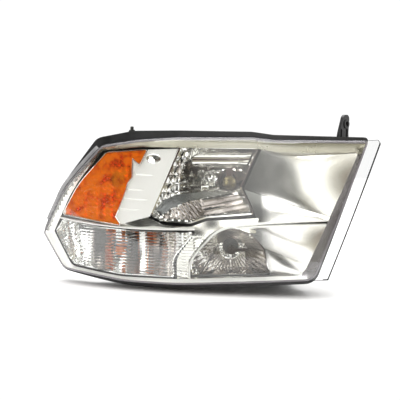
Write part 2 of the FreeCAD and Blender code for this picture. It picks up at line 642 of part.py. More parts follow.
def beam_reflector():
    low = (size("low_x"), size("low_z"), size("low_vertex"), size("low_focal"))
    high = (size("high_x"), size("high_z"), size("high_vertex"), size("high_focal"))
    upper = beam_bowl(LOW_EDGE, *low, size("low_front"))
    lower = beam_bowl(HIGH_EDGE, *high, size("high_front"))
    y, z = size("pivot_y"), size("pivot_z")
    keep_out = column(LOW_EDGE).common(bowl(*low)).fuse(column(HIGH_EDGE).common(bowl(*high)))
    arms = [ear(size("pivot_left") - 8, -80, z, y), ear(40, size("pivot_right") + 8, z, y),
            ear(60, size("adjust_x") + 8, size("adjust_z"), y), bar((-6, 56), (96, 128), (104, 132))]
    for x, height in socket_points():
        arms.append(tube(x, y - 12, height, 9.5, size("socket_r"), 9))
    web = union(arms).cut(keep_out)
    bosses = [disc(x, y - 6.5, height, 4, 8) for x, height, y in rivet_points()]
    body = union([upper, lower, web, *bosses])
    cuts = [disc(x, y - 12.1, height, size("socket_r"), 30) for x, height in socket_points()]
    cuts += [disc(x, y - 20, height, 1.6, 60) for x, height, y in rivet_points()]
    return body.cut(cuts[0].multiFuse(cuts[1:]))


def socket_points():
    """Ball centres on the reflector: two pivots and the adjuster, all at pivot_y."""
    return [(size("pivot_left"), size("pivot_z")), (size("pivot_right"), size("pivot_z")),
            (size("adjust_x"), size("adjust_z"))]


def rivet_points():
    """Feet of the two bulb shields on the bowls: (x, z, y near the bowl wall)."""
    side, up = size("band_foot_x"), size("band_foot_z")
    return [(size("low_x") - side, size("low_z") + up, bowl_y("low", math.hypot(side, up))),
            (size("high_x") + 26, size("high_z"), bowl_y("high", 26))]


def bowl_y(beam, radius):
    """y of a bowl's inner surface at a distance from its axis."""
    return size(beam + "_vertex") - radius ** 2 / (4 * size(beam + "_focal"))


SHEET = 1.2


def low_shield():
    """A cup before the low bulb, hung from a bright half-round band that is riveted to the bowl."""
    x, z, radius = size("low_x"), size("low_z"), size("cup_r")
    tip = size("low_vertex") - 44
    cup = disc(x, tip - 9, z, radius, 16).cut(disc(x, tip - 9 + SHEET, z, radius - SHEET, 16))
    level, reach, band_y = z + size("band_up"), size("band_r"), size("band_y")
    start, length = Vector(-120, band_y, level), 260
    along = Vector(1, 0, 0)
    band = Part.makeCylinder(reach, length, start, along)
    band = band.cut(Part.makeCylinder(reach - SHEET, length, start, along))
    band = band.common(bar((size("band_left"), 120), (band_y - 40, band_y), (level - 40, level + 40)))
    clear_of_bowl = bowl(x, z, size("low_vertex") - 2, size("low_focal"))
    band = band.common(column(LOW_EDGE, -1.5)).common(clear_of_bowl)
    low = level - reach
    strap = bar((x - 6, x + 6), (band_y - 1.5, band_y), (z + radius - 2, low + SHEET))
    foot_x, foot_z, foot_y = rivet_points()[0]
    arm = bar((foot_x - 3, foot_x + 3), (band_y - 2, foot_y - 6.5), (low, low + SHEET))
    pad = bar((foot_x - 3, foot_x + 3), (foot_y - 6.5 - SHEET, foot_y - 6.5), (foot_z - 4, low + SHEET))
    return union([cup, band, strap, arm, pad]).cut(disc(foot_x, foot_y - 12, foot_z, 1.6, 12))


def bulb_shield(beam, reach, radius):
    """A cup that hides the filament, on a bent arm riveted to the bowl."""
    x, z = size(beam + "_x"), size(beam + "_z")
    foot = bowl_y(beam, reach)
    tip = size(beam + "_vertex") - 44
    cup = disc(x, tip - 9, z, radius, 16).cut(disc(x, tip - 9 + SHEET, z, radius - SHEET, 16))
    arm = bar((x + radius - 1, x + reach + 5), (tip - 6, tip - 4.5), (z - 3, z + 3))
    leg = bar((x + reach + 3.5, x + reach + 5), (tip - 6, foot - 8), (z - 3, z + 3))
    pad = bar((x + reach - 3.5, x + reach + 5), (foot - 8, foot - 6.5), (z - 3, z + 3))
    return union([cup, arm, leg, pad]).cut(disc(x + reach, foot - 12, z, 1.6, 12))


def rivets():
    made = []
    for x, z, y in rivet_points():
        made.append(disc(x, y - 6.5, z, 1.6, 12))
        made[-1] = made[-1].fuse(disc(x, y - 9.5, z, 2.6, 1.5)).fuse(disc(x, y - 8, z, 1.6, 1.5))
    return Part.makeCompound(made)


def ball_socket(x, z, name):
    """A nylon cup that snaps over a ball; it sits in the reflector's arm and opens rearwards."""
    y, inner = size("pivot_y"), size("ball_r") + size("ball_gap")
    cup = disc(x, y - 9, z, size("socket_r"), 11)
    cup = cup.cut(Part.makeSphere(inner, Vector(x, y, z)))
    return solid_feature(name, cup)


# --- turned, padded and primitive pieces --------------------------------------------------------

def beam_bulb(prefix, x, z, glass_extra):
    """A twist-in halogen bulb: base with lugs and connector, face seal, glass, terminals."""
    back = "neck_back"
    base = turned(prefix + "_turned", [
        ("0", "0-core_len"), ("core_r", "0-core_len"), ("core_r", "ring_w"), ("base_r", "ring_w"),
        ("base_r", "ring_w+base_w"), ("tail_r", "ring_w+base_w"), ("tail_r", "ring_w+base_w+tail_len"),
        ("0", "ring_w+base_w+tail_len")])
    lug = block("6", "lug_w", "lug_r-8", "0", "groove_y-neck_back+(groove_w-lug_w)/2", "(lug_r+8)/2")
    rounding = rod("lug_r", "lug_w", "0", "groove_y-neck_back+(groove_w-lug_w)/2")
    lugs = []
    for copy in around(lug, 3):
        common = doc.addObject("Part::Common", "Lug")
        common.Base, common.Tool = copy, rounding
        lugs.append(common)
    plug_top = "ring_w+base_w+tail_len-0.5"
    plug = block("plug_x", "plug_y", "plug_z", "0", plug_top, "7-plug_z/2")
    joined = fused(prefix + "_joined", [base, *lugs, plug])
    hole = block("plug_x-2*plug_wall", "plug_y-2*plug_wall", "plug_hole", "0", plug_top + "+plug_wall",
                 "7-plug_z+plug_hole/2")
    key = block("3", "2", "plug_hole", "0", plug_top + "+plug_y-2", "7-plug_z+plug_hole/2")
    shell = less(prefix + "_shell", joined, [hole, key])
    keep(prefix + "_base", move(shell, x, back, z))
    pins = [block("pin_w", "5", "plug_hole-3", f"{side}*6", plug_top + "+plug_y/2-2.5",
                  "7-plug_z+plug_hole/2+1.5") for side in ("1", "0-1")]
    keep(prefix + "_terminals", move(fused(prefix + "_pins", pins), x, back, z))
    ring = turned(prefix + "_ring", [("core_r", "0"), ("base_r", "0"), ("base_r", "ring_w"),
                                     ("core_r", "ring_w")])
    keep(prefix + "_seal", move(ring, x, back, z))
    stem = rod("glass_r", f"glass_len+{glass_extra}", "0", f"0-core_len-glass_len-{glass_extra}")
    tip = primitive("Sphere", {"Radius": "glass_r"}, y=f"0-core_len-glass_len-{glass_extra}")
    keep(prefix + "_glass", move(fused(prefix + "_envelope", [stem, tip]), x, back, z))


def bulb_boot(node, x, z):
    """The rubber diaphragm between a bulb neck and its port."""
    boot = turned(node + "_turned", [
        ("neck_out", "178"), ("neck_out+1.5", "178"), ("neck_out+1.5", "187"), ("neck_out+3.7", "187"),
        ("neck_out+5.7", "193"), ("neck_out+6.9", "193"), ("port_r-2.4", "187"), ("port_r", "187"),
        ("port_r", "197"), ("port_r-1.5", "197"), ("port_r-1.5", "189"), ("neck_out+7.9", "194.5"),
        ("neck_out+4.7", "194.5"), ("neck_out+2.7", "188.5"), ("neck_out", "188.5")])
    keep(node, move(boot, x, "0", z))


def wedge_socket(prefix, x, z, neck_r, lug_r, flange_r, glass_r, glass_len, front, plug):
    """A twist-lock socket in the back wall, its gasket, its glass wedge bulb and its terminals."""
    y = "outboard_back"
    plug_x, plug_z = plug
    body = turned(prefix + "_turned", [
        ("0", front), (neck_r, front), (neck_r, "3"), (flange_r, "3"), (flange_r, "6"), (neck_r, "6"),
        (neck_r, "14"), ("0", "14")])
    lug = block("6", "2", f"{lug_r}-6", "0", "0-5.5", f"({lug_r}+6)/2")
    rounding = rod(lug_r, "2", "0", "0-5.5")
    lugs = []
    for copy in around(lug, 3):
        common = doc.addObject("Part::Common", "Lug")
        common.Base, common.Tool = copy, rounding
        lugs.append(common)
    plug_box = block(plug_x, "20", plug_z, "0", "13")
    joined = fused(prefix + "_joined", [body, *lugs, plug_box])
    hole = block(f"{plug_x}-4", "14", f"{plug_z}-4", "0", "19")
    grips = [block("2", "7", "4", side, "7.5", "0") for side in (f"{neck_r}-0.5", f"0-{neck_r}+0.5")]
    shell = less(prefix + "_shell", fused(prefix + "_gripped", [joined, *grips]), [hole])
    keep(prefix + "_body", move(shell, x, y, z))
    pins = [block("0.8", "10", "4", f"{side}*({plug_x}-4)/3", "19") for side in ("1", "0-1")]
    keep(prefix + "_terminals", move(fused(prefix + "_pins", pins), x, y, z))
    gasket = turned(prefix + "_ring", [(neck_r, "1"), (flange_r, "1"), (flange_r, "3"), (neck_r, "3")])
    keep(prefix + "_gasket", move(gasket, x, y, z))
    wedge = block(f"{glass_r}*1.5", "6", f"{glass_r}*0.5", "0", f"{front}-6")
    stem = rod(glass_r, glass_len, "0", f"{front}-6-{glass_len}")
    tip = primitive("Sphere", {"Radius": glass_r}, y=f"{front}-6-{glass_len}")
    keep(prefix + "_bulb", move(fused(prefix + "_envelope", [wedge, stem, tip]), x, y, z))


def pivot_stud(node, x, wall_y):
    """A steel ball stud through a back wall, with its collar and nut outside."""
    ball = primitive("Sphere", {"Radius": "ball_r"}, y="pivot_y")
    shank = rod("stud_r", f"{wall_y}+9-pivot_y-3", "0", "pivot_y+3")
    collar = rod("stud_r+2", "2", "0", f"{wall_y}-back_wall-7")
    nut = padded(node + "_nut", [(f"{5.5 * math.cos(math.radians(60 * i)):.4f}",
                                  f"{5.5 * math.sin(math.radians(60 * i)):.4f}") for i in range(6)], "4.5")
    nut.Placement = Placement(Vector(0, 0, 0), Rotation(Vector(1, 0, 0), -90))
    nut.setExpression("Placement.Base.y", bound(wall_y))
    keep(node, move(fused(node + "_fused", [ball, shank, collar, nut]), x, "0", "pivot_z"))


def adjuster_rod():
    """The threaded rod that pushes the reflector; it slides through the driven gear."""
    ball = primitive("Sphere", {"Radius": "ball_r"}, y="pivot_y")
    shank = rod("stud_r", "108-3", "0", "pivot_y+3")
    keep("adjuster_rod", move(fused("rod_fused", [ball, shank]), "adjust_x", "0", "adjust_z"))


def gear_tooth(far, scale_to):
    """One straight bevel tooth, drawn with the cone's apex at the origin and the gear below it."""
    along, out = Vector(math.sqrt(0.5), 0, -math.sqrt(0.5)), Vector(math.sqrt(0.5), 0, math.sqrt(0.5))
    add, ded = size("gear_addendum"), size("gear_dedendum")
    wires = []
    for scale in (1.0, scale_to):
        corners = []
        for height, half in ((-ded - 0.5, 1.42), (-ded, 1.25), (add, 0.36)):
            corners.append((height * scale, half * scale))
        ring = [(h, w) for h, w in corners] + [(h, -w) for h, w in reversed(corners)]
        points = [along * (far * scale) + out * h + Vector(0, w, 0) for h, w in ring]
        wires.append(Part.makePolygon([*points, points[0]]))
    return Part.makeLoft(wires, True, True)


def bevel_gear(bore, hub_len, turn_first):
    """A mitre gear, apex at the origin, hub running down -Z."""
    pitch, face, teeth = size("gear_pitch_r"), size("gear_face"), int(size("gear_teeth"))
    far = pitch * math.sqrt(2)
    scale = (far - face) / far
    ded = size("gear_dedendum")
    inner, outer = pitch * scale, pitch
    drop = ded * math.sqrt(0.5)
    profile = [(0, -inner - drop), (inner - drop, -inner - drop), (outer - drop, -outer - drop),
               (outer - drop, -outer - drop - 1.5), (5, -outer - drop - 1.5), (5, -outer - hub_len),
               (0, -outer - hub_len)]
    points = [Vector(r, 0, z) for r, z in profile]
    blank = Part.Face(Part.makePolygon([*points, points[0]])).revolve(Vector(0, 0, 0), Vector(0, 0, 1), 360)
    tooth = gear_tooth(far, scale)
    made = []
    for i in range(teeth):
        copy = tooth.copy()
        copy.rotate(Vector(0, 0, 0), Vector(0, 0, 1), 360.0 * (i + turn_first) / teeth)
        made.append(copy)
    gear = blank.multiFuse(made)
    if bore:
        gear = gear.cut(Part.makeCylinder(bore, 60, Vector(0, 0, -50)))
    return gear


def adjuster_gears():
    """Crown gear about the rod and drive pinion above it, in mesh."""
    apex = Vector(size("adjust_x"), size("gear_apex"), size("adjust_z"))
    crown = bevel_gear(size("stud_r") + 0.06, 3.2, 0)
    crown.rotate(Vector(0, 0, 0), Vector(1, 0, 0), -90)
    crown.translate(Vector(apex.x, apex.y, apex.z))
    crown.rotate(apex, Vector(0, 0, 1), 180)
    pinion = bevel_gear(0, size("drive_top") - size("adjust_z") - size("gear_pitch_r"), 0.5)
    pinion.rotate(Vector(0, 0, 0), Vector(1, 0, 0), 180)
    pinion.translate(apex)
    top = size("drive_top")
    head = Part.makeCylinder(size("drive_r") + 2.5, 8, Vector(apex.x, apex.y, top - 8))
    star = [Part.makeBox(1.6, 7, 6, Vector(-0.8, -3.5, 0)), Part.makeBox(7, 1.6, 6, Vector(-3.5, -0.8, 0))]
    for slot in star:
        slot.translate(Vector(apex.x, apex.y, top - 5))
    pinion = pinion.fuse(head).cut(star[0].fuse(star[1]))
    return crown, pinion


def adjuster_case():
    """The gear case, open to the rear, and the cover that closes it."""
    x, z, wall = size("adjust_x"), size("adjust_z"), size("case_wall")
    half, deep = size("case_x") / 2, size("deep_back")
    low, high = z - size("case_below"), z + size("case_above")
    back = deep + size("case_y") - wall
    outer = bar((x - half, x + half), (deep, back), (low, high))
    inner = bar((x - half + wall, x + half - wall), (deep + wall - 1, back), (low + wall, high - wall))
    ears = [bar((sx - 7, sx + 7), (deep, deep + 4), (sz - 6, sz + 6)) for sx, sz in case_screws()]
    case = union([outer, *ears]).cut(inner)
    spigot = tube(x, deep - 3, z, 5.9, size("stud_r") + 0.4, 3)
    case = case.fuse(spigot).cut(disc(x, deep - 5, z, size("stud_r") + 0.4, 12))
    case = case.cut(Part.makeCylinder(5.08, 20, Vector(x, size("gear_apex"), high - 10)))
    for sx, sz in case_screws():
        case = case.cut(disc(sx, deep - 1, sz, size("screw_r"), 8))
    cover = bar((x - half, x + half), (back, back + wall), (low, high))
    cover = cover.makeFillet(2, [e for e in cover.Edges if abs(e.tangentAt(e.FirstParameter).y) > 0.9])
    outer_inset, inner_inset = wall + 0.2, wall + 1.7
    lip = bar((x - half + outer_inset, x + half - outer_inset), (back - 2, back),
              (low + outer_inset, high - outer_inset))
    lip = lip.cut(bar((x - half + inner_inset, x + half - inner_inset), (back - 3, back),
                      (low + inner_inset, high - inner_inset)))
    cover = cover.fuse(lip).cut(disc(x, back - 5, z, size("stud_r") + 0.4, 12))
    return case.removeSplitter(), cover.removeSplitter()


def screws():
    """Every pan-head screw into the back walls, as one group."""
    made = []
    spots = [p for points in screw_points().values() for p in points]
    for x, z, y in spots:
        made.append(disc(x, y, z, size("screw_head"), 2.4).fuse(disc(x, y - 12, z, size("screw_r"), 12)))
    heads = [s.cut(cross(x, y + 1.2, z)) for s, (x, z, y) in zip(made, spots)]
    return Part.makeCompound(heads)


def cross(x, y, z):
    """A cross recess 1.3 mm deep."""
    return bar((x - 2.2, x + 2.2), (y, y + 3), (z - 0.5, z + 0.5)).fuse(
        bar((x - 0.5, x + 0.5), (y, y + 3), (z - 2.2, z + 2.2)))


def case_screw_group():
    deep = size("deep_back")
    made = []
    for x, z in case_screws():
        screw = disc(x, deep + 4, z, size("screw_head"), 2.4).fuse(disc(x, deep - 8, z, size("screw_r"), 12))
        made.append(screw.cut(cross(x, deep + 5.2, z)))
    return Part.makeCompound(made)


def vent_cap(node, x, z):
    """A breather cap pressed into the back wall."""
    cap = turned(node + "_turned", [
        ("2", "deep_back-6"), ("4", "deep_back-6"), ("4", "deep_back"), ("8", "deep_back"),
        ("8", "deep_back+9"), ("6.5", "deep_back+10.5"), ("0", "deep_back+10.5"), ("0", "deep_back+8"),
        ("2", "deep_back+8")])
    keep(node, move(cap, x, "0", z))


def top_pin():
    """The steel locating pin on the top of the housing."""
    pin = turned("top_pin_turned", [("0", "pin_foot+8"), ("5", "pin_foot+8"), ("5", "pin_foot+9.5"),
                                    ("pin_r", "pin_foot+9.5"), ("pin_r", "pin_top-1"), ("pin_r-1", "pin_top"),
                                    ("0", "pin_top")])
    keep("top_locating_pin", move(pin, "pin_x", "pin_y", "0", Rotation(Vector(1, 0, 0), 90)))


def snap_stud():
    """The tapered stud behind the outboard corner, which snaps into the wing's grommet."""
    stud = turned("snap_turned", [("0", "198"), ("snap_r+3", "198"), ("snap_r+3", "200"), ("snap_r", "200"),
                                  ("snap_r", "200+snap_len"), ("snap_r-2", "203+snap_len"),
                                  ("0", "203+snap_len")])
    keep("outboard_snap_stud", move(stud, "snap_x", "0", "snap_z"))


# --- build --------------------------------------------------------------------------------------

def build():
    solid_feature("outer_lens", outer_lens())
    solid_feature("lens_sealant", channel(size("lens_depth"), size("seal_depth")))
    solid_feature("rear_housing", rear_housing())
    solid_feature("chrome_bezel", chrome_bezel())
    solid_feature("amber_marker_lens", amber_marker_lens())
    solid_feature("marker_reflector", marker_reflector())
    solid_feature("turn_inner_lens", turn_inner_lens())
    solid_feature("turn_reflector", turn_reflector())
    solid_feature("beam_reflector", beam_reflector())
    solid_feature("low_beam_shield", low_shield())
    solid_feature("high_beam_shield", bulb_shield("high", 26, 8))
    solid_feature("shield_rivets", rivets())
    for (x, z), name in zip(socket_points(), ("left_pivot_socket", "right_pivot_socket", "adjuster_socket")):
        ball_socket(x, z, name)
    pivot_stud("left_pivot_stud", "pivot_left", "outboard_back")
    pivot_stud("right_pivot_stud", "pivot_right", "deep_back")
    beam_bulb("low_bulb", "low_x", "low_z", "4")
    beam_bulb("high_bulb", "high_x", "high_z", "2")
    bulb_boot("low_bulb_boot", "low_x", "low_z")
    bulb_boot("high_bulb_boot", "high_x", "high_z")
    wedge_socket("turn_socket", "turn_x", "turn_z", "turn_neck", "turn_lug", "turn_flange", "turn_glass",
                 "26", "0-16", ("26", "18"))
    wedge_socket("marker_socket", "marker_x", "marker_z", "marker_neck", "marker_lug", "marker_flange",
                 "marker_glass", "16", "0-20", ("18", "12"))
    adjuster_rod()
    crown, pinion = adjuster_gears()
    solid_feature("adjuster_crown_gear", crown)
    solid_feature("adjuster_drive_pinion", pinion)
    case, cover = adjuster_case()
    solid_feature("adjuster_case", case)
    solid_feature("adjuster_cover", cover)
    solid_feature("housing_screws", screws())
    solid_feature("adjuster_screws", case_screw_group())
    for name, (x, z, _) in zip(("upper_vent_cap", "lower_vent_cap"), vent_points()):
        vent_cap(name, str(x) if x > 0 else f"0{x}", str(z))
    top_pin()
    snap_stud()


def check_and_write():
    """Stops on any failed object, then writes one STEP file for each piece."""
    doc.recompute()
    for item in doc.Objects:
        if "Invalid" in item.State or "Error" in item.State:
            raise RuntimeError(f"{item.Label} failed: {item.State}")
    os.makedirs("parts", exist_ok=True)
    box = FreeCAD.BoundBox()
    for node, piece in NODES.items():
        shape = piece.Shape
        if shape.isNull() or not shape.isValid() or not shape.Solids:
            raise RuntimeError(f"{node} has no valid shape")
        box.add(shape.BoundBox)
        shape.exportStep(f"parts/{node}.step")
        print(f"{node:26s} solids {len(shape.Solids):2d}  volume {shape.Volume / 1000:9.2f} cm3")
    print("box", box, "centre", box.Center)


build()
check_and_write()
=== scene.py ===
import math

import bmesh
import bpy
import numpy as np
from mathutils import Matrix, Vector
from mathutils.geometry import delaunay_2d_cdt


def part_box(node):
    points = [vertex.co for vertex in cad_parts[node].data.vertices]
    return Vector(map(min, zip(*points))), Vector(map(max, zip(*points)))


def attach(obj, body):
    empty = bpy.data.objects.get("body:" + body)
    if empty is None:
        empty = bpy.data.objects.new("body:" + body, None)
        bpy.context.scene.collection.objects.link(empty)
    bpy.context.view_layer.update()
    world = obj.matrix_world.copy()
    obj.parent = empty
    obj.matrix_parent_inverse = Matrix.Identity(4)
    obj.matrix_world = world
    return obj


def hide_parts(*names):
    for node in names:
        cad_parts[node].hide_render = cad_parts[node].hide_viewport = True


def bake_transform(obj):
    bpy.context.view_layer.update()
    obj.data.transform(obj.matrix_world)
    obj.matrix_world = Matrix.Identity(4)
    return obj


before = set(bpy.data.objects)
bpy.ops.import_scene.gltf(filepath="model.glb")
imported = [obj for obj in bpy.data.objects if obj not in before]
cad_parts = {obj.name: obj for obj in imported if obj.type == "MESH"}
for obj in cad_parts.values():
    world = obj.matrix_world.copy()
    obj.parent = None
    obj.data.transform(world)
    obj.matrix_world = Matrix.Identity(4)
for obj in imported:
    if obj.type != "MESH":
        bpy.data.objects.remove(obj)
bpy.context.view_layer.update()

# Lengths in this script are millimetres in the lamp's draft datum (x to the inboard end, y back from
# the foremost point of the lens, z up); place() turns them into the row frame's metres.
MM = 0.001
LOW_AXIS, HIGH_AXIS = (30.0, 184.0), (34.0, 66.0)
MARKER_AXIS, TURN_AXIS = (-165.0, 190.0), (-160.0, 66.0)
NECK_R, NECK_BACK = 19.5, 190.0
FOOT_DEPTH = 26.0
LENS_THICK, PLATE, BOWL_WALL = 3.0, 2.0, 2.5
# Each bowl's focal length, the y of its vertex, and the depths of its front edge and its ledge.
LOW_FOCAL, LOW_VERTEX, LOW_FRONT, LOW_LEDGE = 26.0, 178.0, 40.0, 48.0
HIGH_FOCAL, HIGH_VERTEX, HIGH_FRONT, HIGH_LEDGE = 16.0, 176.0, 44.0, 52.0
GRID_X = -300.0  # where the facet patterns of the marker's tray and the turn lamp's bowl start
SHARP = 32.0  # degrees between two faces from which their edge looks sharp
seal_low, seal_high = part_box("low_bulb_seal")
DATUM_X = (seal_low.x + seal_high.x) / 2 - LOW_AXIS[0] * MM
DATUM_Y = seal_low.y - NECK_BACK * MM


def place(x, y, z):
    """A draft point in the row frame."""
    return (x * MM + DATUM_X, y * MM + DATUM_Y, z * MM)


# --- the lens face, as in the CAD ---

R_INNER, R_OUTER, X_INNER, X_BLEND = 1500.0, 600.0, 275.0, -90.0
FACE_SLOPE, CROWN_R, CROWN_Z = math.radians(3), 1000.0, 126.0
C_INNER = (X_INNER + R_INNER * math.sin(FACE_SLOPE), R_INNER * math.cos(FACE_SLOPE))
BLEND_SIN = (C_INNER[0] - X_BLEND) / R_INNER
BLEND_COS = math.sqrt(1 - BLEND_SIN ** 2)
C_OUTER = (C_INNER[0] - (R_INNER - R_OUTER) * BLEND_SIN, C_INNER[1] - (R_INNER - R_OUTER) * BLEND_COS)


def plan_y(x, depth):
    """y of the face in plan: a wide arc, and a tighter one that carries on outboard of the blend."""
    x = np.asarray(x, float)
    ri, ro = R_INNER - depth, R_OUTER - depth
    inner = C_INNER[1] - np.sqrt(np.maximum(ri ** 2 - (x - C_INNER[0]) ** 2, 0))
    outer = C_OUTER[1] - np.sqrt(np.maximum(ro ** 2 - (x - C_OUTER[0]) ** 2, 0))
    return np.where(x >= C_INNER[0] - ri * BLEND_SIN, inner, outer)


def face_y(x, z, depth=0.0):
    """y of the crowned face, depth behind the outer surface."""
    r = CROWN_R - plan_y(x, depth)
    return CROWN_R - np.sqrt(r ** 2 - (np.asarray(z, float) - CROWN_Z) ** 2)


def at(depth):
    """A height function: the lens face moved back by a depth."""
    return lambda x, z: face_y(x, z, depth)


def behind(front, thickness):
    """A height function some way behind another one."""
    return lambda x, z: front(x, z) + thickness


# --- outlines in the xz plane ---

# Closed outlines: each corner is (x, z, radius).
LENS_EDGE = [(-305, 88, 8), (-266, 27, 22), (-150, 15, 300), (-60, 15, 600), (168, 31, 26), (253, 261, 3),
    (102, 262, 60), (66, 266, 60), (-60, 265, 500), (-124, 260, 120), (-191, 249, 22), (-264, 172, 220)]
WING_EDGE = LENS_EDGE[:4] + [(190, 33, 1.5), (272, 258, 3), (268, 264, 1), (253, 263, 0.5),
    (102, 263, 60), (66, 267, 60), (-60, 266, 500), (-124, 261, 120), (-191, 250, 22), (-264, 172, 220)]
BEZEL_OPEN = [(-284, 92, 4), (-250, 32, 18), (-160, 22, 200), (-60, 23.5, 600), (150, 38, 26),
    (238, 242, 3), (106, 242, 30), (72, 248, 30), (-120, 248, 100), (-189, 240, 12), (-247, 168, 200)]
AMBER_EDGE = [(-265, 125, 3), (-158, 113, 1.5), (-168, 127, 1), (-158, 150, 3), (-149, 173, 2),
    (-146, 186, 1), (-138, 196, 1), (-137, 229, 0.6), (-124, 219, 1), (-111.5, 243, 1.5), (-182, 237, 12),
    (-234.5, 180, 200)]
TRAY_EDGE = [(-263, 127, 3), (-171, 118, 2), (-114, 242, 2), (-182, 235, 12), (-232.5, 180, 200)]
SATIN_EDGE = [(-165, 112, 1), (-106.5, 130, 2), (-57, 246, 1), (-109.5, 243.5, 0.5), (-122, 218, 1),
    (-136, 230, 1), (-136.5, 196, 1), (-144.5, 186, 1), (-147, 173, 1), (-156, 150, 1), (-166, 127, 1)]
TURN_EDGE = [(-279, 92, 3), (-248, 38, 14), (-160, 27, 200), (-66, 28, 4), (-70, 58, 40), (-32, 104, 3),
    (-141, 102.5, 100), (-195, 104.5, 60), (-266, 112, 3)]
TURN_LENS_EDGE = [(-280.5, 92, 3), (-249, 37, 14), (-160, 25.5, 200), (-43.5, 27, 2), (-42.5, 52, 8),
    (-31, 73, 60), (-16, 90.5, 60), (-6, 103, 2), (-141, 104, 100), (-195, 106, 60), (-267, 113.5, 3)]
DIVIDER_EDGE = [(-60, 22, 1), (-39.5, 24, 1), (-40.5, 55, 8), (-20, 85, 60), (1.5, 108, 30),
    (38, 117, 30), (66, 106.5, 2), (72, 106, 1), (77, 132, 1), (-9, 125, 30), (-38, 113.5, 30),
    (-84, 115, 8), (-108, 126, 1), (-166, 112, 1), (-160, 107, 1), (-26.5, 107, 3), (-61, 60, 40)]
LOW_EDGE = [(-104, 130, 3), (-86, 121, 10), (-38, 119, 30), (-10, 130, 30), (68, 138, 2), (46, 181, 2),
    (75, 246, 2), (-54, 246, 2)]
LOW_SHELF_EDGE = [(-97, 139, 3), (-86.5, 153, 20), (-61, 167, 60), (-16, 172, 100), (44, 173, 1),
    (1, 164.5, 100), (-44, 155, 60), (-72, 141, 20), (-90, 127, 3)]
LOW_FLUTES_EDGE = [(-88, 125.5, 1), (-70, 140, 10), (-43, 153.5, 60), (2, 163, 100), (42, 171.5, 1),
    (60, 145, 1), (64, 140, 1), (-11, 132.5, 30), (-38, 121.5, 30), (-84, 123.5, 8)]
HIGH_EDGE = [(-36, 54, 10), (-17, 82, 60), (4, 104, 30), (38, 112, 30), (64, 103, 3), (84, 76, 3),
    (98, 34, 3), (-34, 27, 3)]

# Open lines of (x, z).
EYEBROW = [(-39, 25), (-38, 50), (-27, 70), (-12, 88), (5, 105), (22, 113.5), (40, 118), (79, 123),
    (144, 128), (193, 131)]
EYEBROW_LOW = [(40, 114), (79, 118), (144, 121.5), (192, 123)]
SHELF_LINE = [(-276, 118), (-240, 114), (-195, 110.5), (-141, 108.5), (-80, 109), (-30, 111)]

# The inboard panels: name, finish (a painted reflection, dark to light across x), bulge, four corners (x, z,
# depth), and an outline that isn't just the four corners.
PANELS = (
    ("upper_inboard_panel", "upper", 6.5, [(53, 178.5, 44), (196.5, 136, 15), (239, 244, 15), (82, 246, 34)],
     None),
    ("middle_inboard_panel", "middle", 3.0,
     [(74, 124, 24), (194, 131.5, 15), (196, 136, 17), (53, 178.5, 46)],
     [(76, 125, 1), (150, 129.5, 50), (194, 132, 1), (195.5, 136, 1), (140, 152, 200), (90, 167.5, 100),
      (54, 177.5, 1), (66, 150, 40)]),
    ("lower_inboard_panel", "lower", 5.0, [(88, 79, 32), (168, 53, 14), (192, 122, 15), (66, 116, 20)],
     [(88, 79, 1), (168, 53, 1), (192, 122, 1), (140, 120.5, 60), (80, 117, 60), (62, 112, 1),
      (66, 104, 20)]),
    ("bottom_inboard_panel", "lower", 3.0, [(101, 32, 30), (152, 36, 13), (169, 54, 15), (88, 79, 34)],
     [(101, 30, 1), (152, 37, 14), (168.5, 53, 1), (88, 78, 1), (92, 56, 30)]),
)

# Blocks of the turn lamp's bowl painted with reflections (black for the bulb's hole, orange for the amber
# bulb, mottled chrome): left, right, low, high, and the painted finish's place in turn_lamp's list.
TURN_PAINTED_REFLECTIONS = ((-214, -178, 28, 112, 3), (-150, -128, 28, 112, 3), (-112, -62, 28, 112, 3),
              (-208, -184, 44, 94, 1), (-238, -186, 94, 112, 1), (-190, -175, 34, 70, 2),
              (-186, -170, 92, 110, 2), (-148, -131, 44, 94, 1), (-112, -97, 84, 106, 2))

# Back ribs, (x0, z0, x1, z1), for each back wall's y.
BACK_RIBS = ((192.0, ((-94, 140, 138, 140), (-94, 22, 104, 22), (-66, 22, -66, 236), (-22, 22, -22, 236),
                      (68.5, 22, 68.5, 236), (132, 100, 132, 236))),
             (176.0, ((-238, 118, -96, 118), (-130, 40, -130, 225), (-205, 46, -205, 196))))


def rounded(corners, step=3.0):
    """The outline as a closed list of points, its corners rounded to their radii."""
    arcs, count = [], len(corners)
    for i, (u, v, radius) in enumerate(corners):
        p = np.array((u, v), float)
        a, b = np.array(corners[i - 1][:2]) - p, np.array(corners[(i + 1) % count][:2]) - p
        la, lb = np.linalg.norm(a), np.linalg.norm(b)
        a, b = a / la, b / lb
        half = math.acos(max(-1.0, min(1.0, float(a @ b)))) / 2
        cut = min(radius / math.tan(half), 0.48 * min(la, lb))
        radius = cut * math.tan(half)
        centre = p + (a + b) / np.linalg.norm(a + b) * radius / math.sin(half)
        start, end = p + a * cut - centre, p + b * cut - centre
        first = math.atan2(start[1], start[0])
        turn = (math.atan2(end[1], end[0]) - first + math.pi) % (2 * math.pi) - math.pi
        n = max(2, int(math.ceil(max(abs(radius * turn) / step, abs(turn) / 0.25))))
        angles = first + turn * np.arange(n + 1) / n
        arcs.append(centre + radius * np.stack([np.cos(angles), np.sin(angles)], 1))
    points = []
    for i in range(count):
        points += list(arcs[i])
        gap = arcs[(i + 1) % count][0] - arcs[i][-1]
        n = int(np.linalg.norm(gap) // step)
        points += [arcs[i][-1] + gap * (k / (n + 1)) for k in range(1, n + 1)]
    clean = [points[0]]
    for p in points[1:]:
        if np.linalg.norm(p - clean[-1]) > 0.05:
            clean.append(p)
    if np.linalg.norm(clean[0] - clean[-1]) < 0.05:
        clean.pop()
    return np.array(clean)


